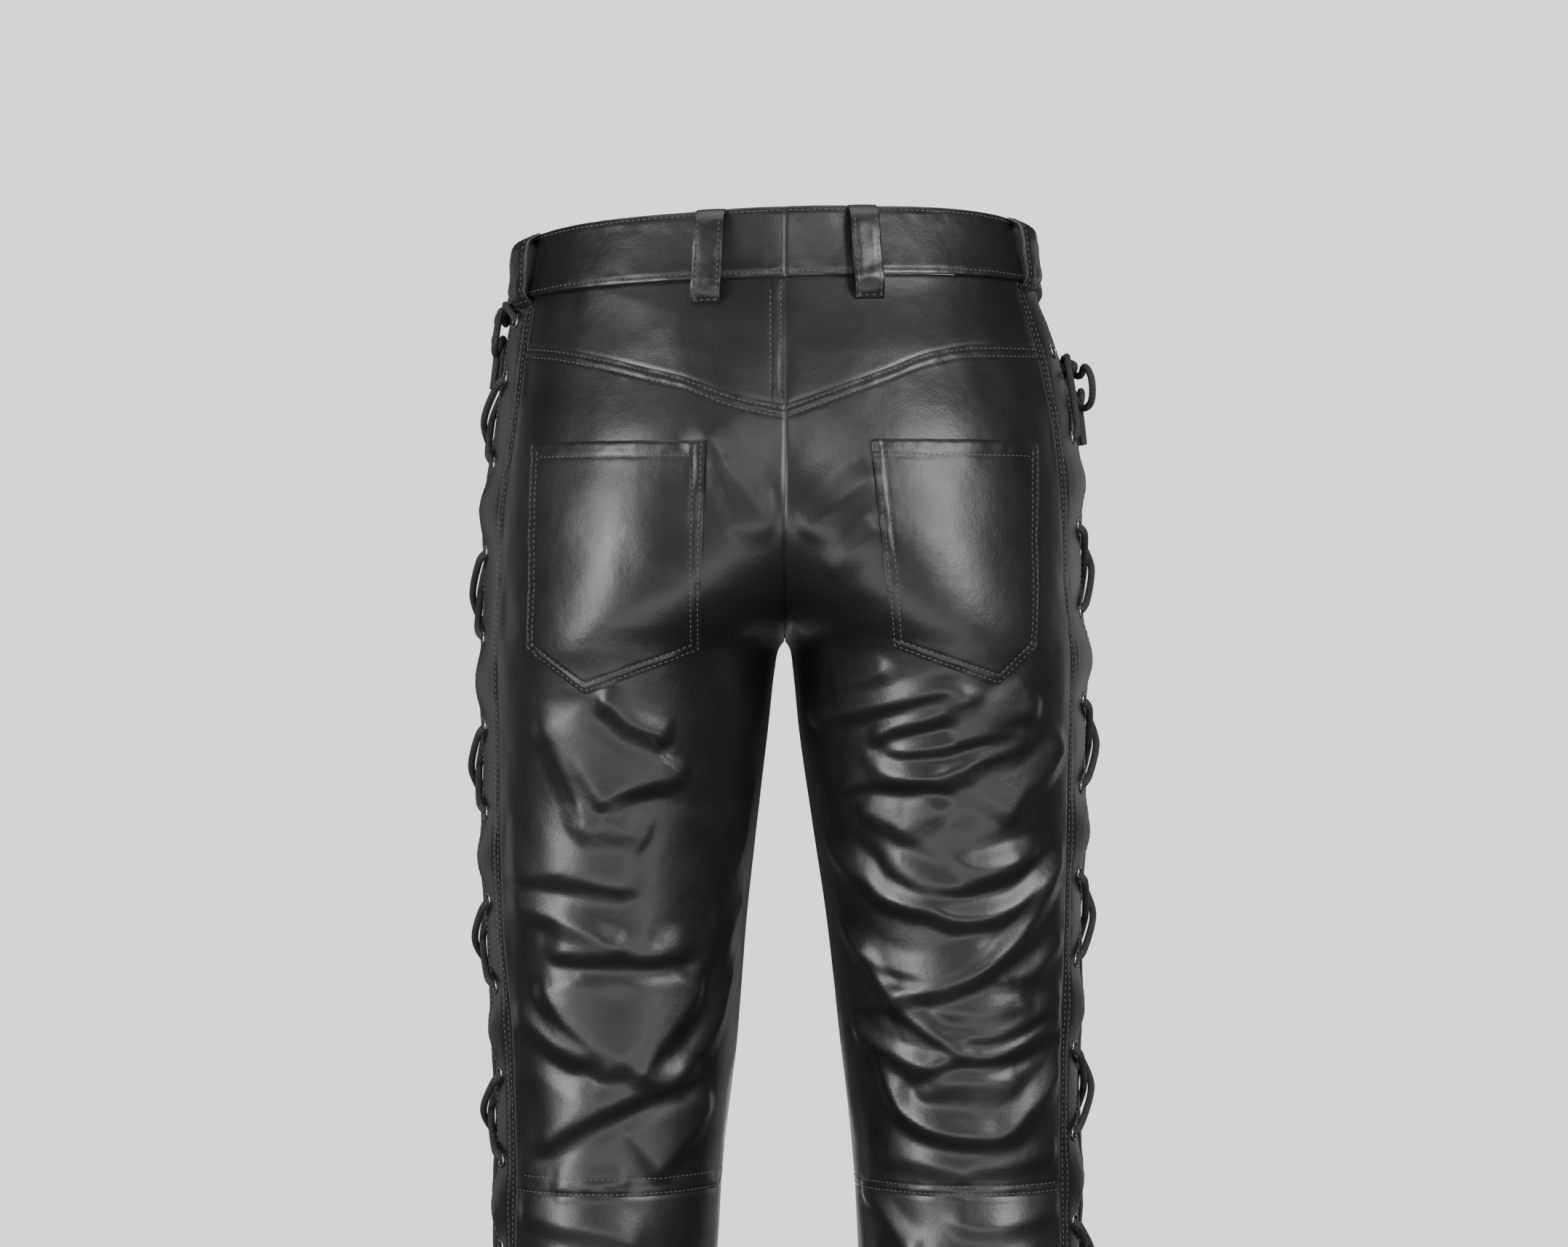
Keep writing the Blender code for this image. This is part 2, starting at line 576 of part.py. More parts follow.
def add_tongues(look):
    """The long pieces behind the lacing, pressed in by the crossings and puffed out between them."""
    for side in (LEFT, RIGHT):
        rows = eyelet_rows(side, BACK)
        lines = [(rows[0], TONGUE_MIDDLE), (rows[0] - 3 * MM, TONGUE_MIDDLE)]
        for i in range(len(rows) - 1):
            puff = 0 if i == 0 or crosses(side, i) else TONGUE_BULGE
            lines.append(((rows[i] + rows[i + 1]) / 2, TONGUE_MIDDLE + puff))
        lines += [(rows[-1] + 3 * MM, TONGUE_UNDER), (rows[-1] - 12 * MM, TONGUE_UNDER), (HEM, TONGUE_MIDDLE)]
        z = np.array([line[0] for line in lines])
        middle = np.array([line[1] for line in lines])
        edge = smooth_column(SEAM_ARCS, "z", "arc", z) - TONGUE_INSET
        under, flat = np.full(len(z), TONGUE_UNDER_ARC), np.full(len(z), TONGUE_FLAT_ARC)
        arc = np.stack([edge, under, flat, -flat, -under, -edge], axis=1)
        low = np.full(len(z), TONGUE_UNDER)
        lift = np.stack([low, low, middle, middle, low, low], axis=1)
        heights = z[:, None] + 0 * arc
        angle = angle_round(side, arc, heights)
        heights[0] = band_foot(side, angle[0]) - TONGUE_TOP_GAP
        points, normals = smooth_points(side, angle, heights, lift)
        wall("tongue_" + SIDE_NAMES[side], points, normals, TONGUE_CLOTH, look)


def add_pockets(look):
    """Patch pockets, pointed at the bottom, laid on the backs."""
    for side in (LEFT, RIGHT):
        cut = POCKETS[side]
        across, down = np.meshgrid(np.linspace(0, 1, 9), np.linspace(0, 1, 9))
        point = (cut.point - cut.inner_low) / (cut.outer_low - cut.inner_low)
        sag = np.where(across < point, across / point, (1 - across) / (1 - point))
        foot = cut.low + (cut.point_z - cut.low) * sag
        z = (cut.top + down * (foot - cut.top)) * MM
        inner = cut.inner_top + down * (cut.inner_low - cut.inner_top)
        outer = cut.outer_top + down * (cut.outer_low - cut.outer_top)
        first = angle_of_x(side, BACK, inner * MM, z)
        last = angle_of_x(side, BACK, outer * MM, z)
        angle = first + across * (last - first)
        points, normals = cloth_points(side, BACK, angle, z, LAID_ON + CLOTH)
        wall("back_pocket_" + SIDE_NAMES[side], points, normals, CLOTH, look)


def add_belt_loops(look):
    """Straps sewn down over the top edge of the waistband and under its foot, bowed out between."""
    profile = np.array([0, 0.12, 0.3, 0.5, 0.68, 0.82, 0.92, 1])
    on_band = LAID_ON + BAND_PROUD + LOOP_CLOTH
    room = BAND_PROUD + LOOP_ROOM + LOOP_CLOTH
    for loop in BELT_LOOPS:
        on_cloth = LAID_ON + LOOP_CLOTH + (STRIP_LIFT if loop.on_strip else 0)
        lift = np.array([on_band, room - 2 * MM, room, room, room, room, on_cloth + 4 * MM, on_cloth])
        waist_z = np.array(-20 * MM)
        if loop.on_strip:
            centre = angle_of_arc(loop.side, loop.face, np.array(loop.across), waist_z)
        else:
            centre = angle_of_x(loop.side, loop.face, np.array(loop.across), waist_z)
        half = LOOP_WIDTH / 2 / arc_rate(loop.side, centre, waist_z)
        angle = centre + np.array([[-half, half]])
        length = band_height(angle) + loop.tail
        z = waist_line(loop.side, angle, profile[:, None] * length)
        points, normals = smooth_points(loop.side, angle + 0 * z, z, lift[:, None] + 0 * z)
        wall(loop.name, points, normals, LOOP_CLOTH, look)


def add_fly(look, metal):
    """The fly flap on the left front, with its rounded foot, and the button of the waistband."""
    down = np.linspace(0, 1, 8)[:, None]
    width = FLY_WIDTH * np.sqrt(1 - (0.93 * smooth_step(0.6, 1, down)) ** 2)
    x = 1.5 * MM + np.linspace(0, 1, 4)[None, :] * width
    top = band_foot(LEFT, np.full((1, 1), -math.pi / 2)) - 4 * SEAM_HALF_GAP
    z = top + down * (FLY_FOOT - top) + 0 * x
    z[0] = band_foot(LEFT, angle_of_x(LEFT, FRONT, x[0], z[0])) - 4 * SEAM_HALF_GAP
    angle = angle_of_x(LEFT, FRONT, x, z)
    points, normals = cloth_points(LEFT, FRONT, angle, z, LAID_ON + CLOTH)
    wall("fly_flap", points, normals, CLOTH, look)

    centre_z = waist_line(LEFT, np.array([-math.pi / 2]), BAND_HEIGHT_SIDE / 2)
    seat, facing = smooth_points(RIGHT, angle_of_x(RIGHT, FRONT, np.array([11 * MM]), centre_z), centre_z,
                                 BAND_PROUD + LAP_LIFT + LAID_ON)
    outline = [(BUTTON_RADIUS, 0), (BUTTON_RADIUS, 0.55), (0.8 * BUTTON_RADIUS, 1), (0.62 * BUTTON_RADIUS, 0.75)]
    sides = 16
    rings = [[(r * math.cos(2 * math.pi * k / sides), r * math.sin(2 * math.pi * k / sides), BUTTON_HEIGHT * h)
              for k in range(sides)] for r, h in outline]
    faces = [tuple(reversed(range(sides))), tuple(range(3 * sides, 4 * sides))]
    for ring in range(len(outline) - 1):
        for k in range(sides):
            here, beside = ring * sides + k, ring * sides + (k + 1) % sides
            faces.append((here, beside, beside + sides, here + sides))
    mesh = bpy.data.meshes.new("waistband_button")
    mesh.from_pydata([point for ring in rings for point in ring], [], faces)
    mesh.materials.append(metal)
    button = bpy.data.objects.new("waistband_button", mesh)
    button.location = seat[0]
    button.rotation_euler = Vector(facing[0]).to_track_quat("Z", "Y").to_euler()
    bpy.context.scene.collection.objects.link(button)


def tie_end(side, face):
    """One free end of a lace and its half of the tie."""
    lacing = LACINGS[side]
    return [(face * p.round * MM, lacing.tie_height + p.up * MM,
             lacing.tie_lift + (p.out if face == BACK else p.other_out) * MM) for p in reversed(TIE)]


def lace_crossing(start, hand, row, z, next_z):
    """Over the gap to the other strip. The two strands take turns to lie on top."""
    on_top = (row // 2) % 2 == (0 if start == BACK else 1)
    height = LACE_OVER_CROSS if on_top else LACE_UNDER_CROSS
    slope = (z - next_z) / 2 / OUTSIDE_ARC
    return [(hand * arc, (z + next_z) / 2 + slope * arc, height) for arc in (CROSS_ARC, -CROSS_ARC)]


def lace_route(side):
    """The whole lace of one side: from one free end through the tie and down, across at the last row, and up.

    Each point is how far round from the seam line (back is positive), its height and how far it stands out.
    """
    rows = {face: eyelet_rows(side, face) for face in (BACK, FRONT)}
    last = LACINGS[side].count - 1
    halves = {}
    for start in (BACK, FRONT):
        hand, half = start, tie_end(side, start)
        for row in range(LACINGS[side].first_row, last + 1):
            z = rows[hand][row]
            in_hole = (hand * EYELET_ARC, z, HOLE_MIDDLE)
            if crosses(side, row):
                half += [(hand * EYELET_ARC, z + INSIDE_STEP, LACE_INSIDE), in_hole,
                         (hand * OUTSIDE_ARC, z - OUTSIDE_STEP, LACE_OUTSIDE)]
                half += lace_crossing(start, hand, row, z, rows[-hand][row + 1])
                hand = -hand
            else:
                half += [(hand * OUTSIDE_ARC, z + OUTSIDE_STEP, LACE_OUTSIDE), in_hole,
                         (hand * EYELET_ARC, z - INSIDE_STEP, LACE_INSIDE)]
        half += [(hand * arc, rows[hand][last] - INSIDE_STEP, LACE_INSIDE) for arc in (24 * MM, 12 * MM)]
        halves[start] = half
    return halves[BACK] + [(0.0, rows[BACK][last] - INSIDE_STEP, LACE_INSIDE)] + list(reversed(halves[FRONT]))


def add_laces(look):
    for side in (LEFT, RIGHT):
        route = np.array(lace_route(side))
        arc, z, out = route.T
        points, _ = smooth_points(side, angle_round(side, arc, z), z, out)
        name = "lace_" + SIDE_NAMES[side]
        curve = bpy.data.curves.new(name, "CURVE")
        curve.dimensions = "3D"
        curve.bevel_depth = LACE_DIAMETER / 2
        curve.bevel_resolution = 1
        curve.use_fill_caps = True
        spline = curve.splines.new("POLY")
        spline.points.add(len(points) - 1)
        for target, point in zip(spline.points, points):
            target.co = (*point, 1)
        curve.materials.append(look)
        bpy.context.scene.collection.objects.link(bpy.data.objects.new(name, curve))


def main():
    clear_scene()
    leather = material("leather", LEATHER_COLOUR, 0.38)
    tongue_leather = material("tongue leather", TONGUE_COLOUR, 0.45)
    lace = material("lace", LACE_COLOUR, 0.6)
    metal = material("dark metal", METAL_COLOUR, 0.3, 1.0)
    add_waistband(leather)
    add_yokes(leather)
    add_upper_panels(leather)
    add_lower_panels(leather)
    add_eyelet_strips(leather)
    add_tongues(tongue_leather)
    add_pockets(leather)
    add_belt_loops(leather)
    add_fly(leather, metal)
    add_laces(lace)


if __name__ == "__main__":
    main()
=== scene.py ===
"""The looks of faux leather trousers with laced sides, standing open as they are worn. Metres, +Z up.

The front faces -Y and the wearer's left is +X. Every leather piece is a fine sheet of points on the garment's
surface, shaped by its folds and seams and given a wall inwards. It stands for the solid of the same name.
"""

from collections import namedtuple
from itertools import product
import math

import bmesh
import bpy
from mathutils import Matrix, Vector, noise
import numpy as np


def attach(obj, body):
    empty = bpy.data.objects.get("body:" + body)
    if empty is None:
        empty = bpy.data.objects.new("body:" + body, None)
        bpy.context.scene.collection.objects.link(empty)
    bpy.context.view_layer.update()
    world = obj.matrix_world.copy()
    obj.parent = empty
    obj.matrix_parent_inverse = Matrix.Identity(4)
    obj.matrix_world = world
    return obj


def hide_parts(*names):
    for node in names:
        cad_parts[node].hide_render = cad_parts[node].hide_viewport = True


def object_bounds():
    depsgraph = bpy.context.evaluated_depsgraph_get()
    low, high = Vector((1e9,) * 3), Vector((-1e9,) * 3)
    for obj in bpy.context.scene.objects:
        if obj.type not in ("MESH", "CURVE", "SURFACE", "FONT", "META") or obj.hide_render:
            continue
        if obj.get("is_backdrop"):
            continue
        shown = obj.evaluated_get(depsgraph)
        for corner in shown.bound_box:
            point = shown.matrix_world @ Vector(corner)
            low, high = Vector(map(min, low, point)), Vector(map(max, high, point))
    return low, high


bl_info = {
    "name": "Laced Leather Trousers",
    "version": (1, 0, 0),
    "blender": (4, 5, 0),
    "location": "View3D > Sidebar > Trousers",
    "description": "Makes the leather, sewing, lacing and stage of a pair of laced faux leather trousers",
    "category": "Object",
}

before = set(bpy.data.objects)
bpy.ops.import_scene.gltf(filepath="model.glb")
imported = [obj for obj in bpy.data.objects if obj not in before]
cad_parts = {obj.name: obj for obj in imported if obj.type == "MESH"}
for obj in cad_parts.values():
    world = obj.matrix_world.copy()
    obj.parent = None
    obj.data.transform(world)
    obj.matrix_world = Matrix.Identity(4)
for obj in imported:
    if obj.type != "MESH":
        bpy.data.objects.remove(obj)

MM = 0.001
LEFT, RIGHT = 1, -1
BACK, FRONT = 1, -1
SIDE_NAMES = {LEFT: "left", RIGHT: "right"}
FACE_NAMES = {BACK: "back", FRONT: "front"}
BODY = "root"

# Cloth: how thick each kind is, and how far the waistband stands proud. Its foot flares out at the sides as
# its top leans in, about a pivot that lies a share of the way down.
CLOTH = 1.6 * MM
TONGUE_CLOTH = 1.4 * MM
BAND_CLOTH = 3.0 * MM
BAND_PROUD = 1.4 * MM
BAND_FLARE = 5.5 * MM
FLARE_PIVOT = 0.67
LOOP_CLOTH = 2.0 * MM
LAID_ON = 0.7 * MM

# Heights, from the top of the waistband at the centre back
FRONT_DROP = 40 * MM
DROP_POWER = 1.5
WAIST_TILT = 0.035
BAND_HEIGHT_SIDE = 36 * MM
BAND_HEIGHT_EXTRA = 6 * MM
KNEE = -592 * MM
HEM = -1050 * MM

# One row for each height: how far each leg reaches out to its side and in towards the middle, and how far
# the surface stands back and forward. A negative inner reach runs past the middle, where the centre seam
# cuts it. side is where the outer seam line lies, front to back. All in millimetres.
Section = namedtuple("Section", "z left_out left_in right_out right_in back front side")
SECTIONS = [
    Section(20, 166, -166, 150.5, -150.5, 108, 110, 0),
    Section(0, 166, -166, 151, -151, 112, 112, 0),
    Section(-40, 167, -165, 155, -153, 119, 116, 1),
    Section(-90, 174, -152, 171, -150, 134, 123, 3),
    Section(-140, 180, -122, 180, -122, 146, 127, 5),
    Section(-190, 184.5, -84, 182, -84, 150, 126, 6),
    Section(-225, 185, -48, 182, -48, 146, 122, 6),
    Section(-245, 185.5, -18, 183, -18, 141, 118, 6),
    Section(-258, 186, 0, 184, 0, 136, 115, 6),
    Section(-264, 186, 4, 184.5, 3.5, 134, 114.5, 5.5),
    Section(-275, 186, 6, 185, 5, 130, 113, 5),
    Section(-310, 186, 10, 185, 8.5, 119, 108, 4),
    Section(-370, 186, 17, 184.5, 17, 106, 101, 2),
    Section(-430, 184.5, 23.5, 183, 26, 98, 95, 1),
    Section(-500, 179.5, 29, 182, 34, 89, 89, 0),
    Section(-590, 178.5, 39, 182.5, 43, 79, 83, -3),
    Section(-700, 181, 44, 185, 48, 80, 72, 1),
    Section(-820, 184, 50, 187, 54, 80, 62, 6),
    Section(-950, 187, 55, 189, 58, 72, 60, 6),
    Section(-1070, 190, 58, 192, 60, 68, 66, 2),
]

# How far round from the outer seam line each eyelet strip is sewn to its panel.
SeamArc = namedtuple("SeamArc", "z arc")
SEAM_ARCS = [
    SeamArc(0, 52),
    SeamArc(-60, 56),
    SeamArc(-130, 66),
    SeamArc(-220, 68),
    SeamArc(-320, 62),
    SeamArc(-460, 55),
    SeamArc(-600, 54),
    SeamArc(-800, 50),
    SeamArc(-1070, 47),
]

# The yoke seam seen from behind: how far from the middle, and its height.
YokePoint = namedtuple("YokePoint", "x left_z right_z")
YOKE_SEAM = [
    YokePoint(0, -119, -119),
    YokePoint(30, -112.5, -108),
    YokePoint(60, -101.5, -97),
    YokePoint(85, -95, -87),
    YokePoint(112, -88, -81.5),
    YokePoint(150, -80.5, -80),
    YokePoint(190, -78, -79),
]

# Lacing
STRIP_EDGE = 27 * MM
EYELET_ARC = 36 * MM
EYELET_PITCH = 52.9 * MM
HOLE_RADIUS = 3.9 * MM
HOLE_MARGIN = 0.9 * MM
STRIP_LIFT = 1.0 * MM
STRIP_BULGE = 4.3 * MM
TONGUE_UNDER = -6.8 * MM
TONGUE_BULGE = 2.4 * MM
TONGUE_MIDDLE = -1.0 * MM
TONGUE_INSET = 7 * MM
TONGUE_TOP_GAP = -4 * MM
TONGUE_FLAT_ARC = 13 * MM
TONGUE_UNDER_ARC = 25 * MM
LACE_INSIDE = -3.6 * MM
LACE_OUTSIDE = 3.9 * MM
LACE_END_ARCS = (24 * MM, 12 * MM)
HOLE_MIDDLE = -0.3 * MM
INSIDE_STEP = 4 * MM
OUTSIDE_STEP = 4.5 * MM
OUTSIDE_ARC = 34.5 * MM
LACE_UNDER_CROSS = 1.7 * MM
LACE_OVER_CROSS = 5.9 * MM
CROSS_ARC = 7 * MM

# A lace is sampled at a pitch, and its corners are rounded in a few passes.
LACE_PITCH = 2 * MM
LACE_EASE = 3
LACE_SIDES = 10

# The eyelet rows of each side, top to bottom. The lace comes out of its first row to be tied, crosses over
# the gap between rows n and n + 1 where n - first_cross is even, and runs inside the strips between the
# others. The top row of a front strip is lower where the waistband is. The tie lies at its own height, a way
# round from the seam line, and its loop at the back stands out.
Lacing = namedtuple(
    "Lacing", "top_back top_front second_row count first_row first_cross tie_height tie_round tie_stand")
LACINGS = {
    LEFT: Lacing(-64 * MM, -78 * MM, -98 * MM, 19, 0, 1, -52 * MM, -11 * MM, 2 * MM),
    RIGHT: Lacing(-82 * MM, -82 * MM, -134.9 * MM, 18, 1, 2, -86 * MM, -4 * MM, 11 * MM),
}

# Half of the tie at the top of a lace: how far round, up and out each point of one end lies. The other end
# is its mirror image, one thickness further out or in at each crossing. stand is each point's share of how
# far the loop at the back stands out. The last four points are its tail.
TiePoint = namedtuple("TiePoint", "round up out other_out stand")
TIE = [
    TiePoint(12, 0, 3.6, 3.6, 0),
    TiePoint(5, -2, 3.4, 5.0, 0),
    TiePoint(0, -4, 3.2, 7.6, 0),
    TiePoint(-5, -7, 4.0, 6.2, 0),
    TiePoint(0, -11, 7.6, 3.3, 0),
    TiePoint(6, -11, 7.2, 4.6, 0.25),
    TiePoint(14, -7, 5.0, 5.0, 0.7),
    TiePoint(20, -12, 4.4, 4.4, 1),
    TiePoint(21, -20, 4.2, 4.2, 1),
    TiePoint(17, -29, 4.2, 4.2, 0.7),
    TiePoint(10, -31, 3.8, 5.2, 0.2),
    TiePoint(5, -24, 3.4, 7.4, 0),
    TiePoint(0, -20, 3.4, 7.8, 0),
    TiePoint(-5, -23, 3.4, 7.4, 0),
    TiePoint(-7, -31, 3.6, 4.4, 0),
    TiePoint(-8, -41, 3.6, 3.8, 0),
    TiePoint(-9, -52, 3.6, 3.6, 0),
]

# Back pockets seen from behind: the inner and outer edges at the top and above the point, in millimetres.
Pocket = namedtuple("Pocket", "inner_top outer_top top inner_low outer_low low point point_z")
POCKETS = {
    LEFT: Pocket(46.5, 150, -140, 51, 153, -263, 116, -289),
    RIGHT: Pocket(50.5, 151, -139, 64, 149, -261, 124, -284),
}

# Belt loops: the face they are on, how far from the middle or, where they lie on a side strip, round from
# the outer seam line, and how far their tails reach below the waistband.
BeltLoop = namedtuple("BeltLoop", "name side face across on_strip tail")
BELT_LOOPS = [
    BeltLoop("belt_loop_back_left", LEFT, BACK, 44 * MM, False, 15 * MM),
    BeltLoop("belt_loop_back_right", RIGHT, BACK, 46.5 * MM, False, 15 * MM),
    BeltLoop("belt_loop_side_left", LEFT, BACK, 45 * MM, True, 5 * MM),
    BeltLoop("belt_loop_side_right", RIGHT, BACK, 43 * MM, True, 5 * MM),
    BeltLoop("belt_loop_front_left", LEFT, FRONT, 78 * MM, False, 12 * MM),
    BeltLoop("belt_loop_front_right", RIGHT, FRONT, 78 * MM, False, 12 * MM),
]
LOOP_WIDTH = 17 * MM
LOOP_LENGTH = 55 * MM
LOOP_ROOM = 6.5 * MM

# The places down a belt loop, as shares of its length, where its bends are set. Their lifts are drawn in
# units of so many millimetres, to be of the same order as the shares.
LOOP_KNOTS = [0, 0.12, 0.3, 0.5, 0.68, 0.82, 0.92, 1]
LOOP_BEND = 10

# Fly and button
FLY_WIDTH = 38 * MM
FLY_FOOT = -178 * MM
FLY_START = 1.5 * MM
FLY_GAP = 0.8 * MM
LAP_LENGTH = 28 * MM
LAP_LIFT = 3.4 * MM
LAP_COLUMNS = 25

# The height at which distances round the waistband are measured.
WAIST_LEVEL = -20 * MM

BUTTON_ACROSS = 11 * MM
BUTTON_RADIUS = 8.5 * MM
BUTTON_HEIGHT = 3.0 * MM
BUTTON_SIDES = 40

# The button's outline from its back to the middle of its face, as shares of its radius and its height.
BUTTON_PROFILE = [
    (0.86, 0), (1, 0.25), (1, 0.6), (0.93, 0.85), (0.8, 1), (0.68, 0.9), (0.6, 0.68), (0.3, 0.6)]

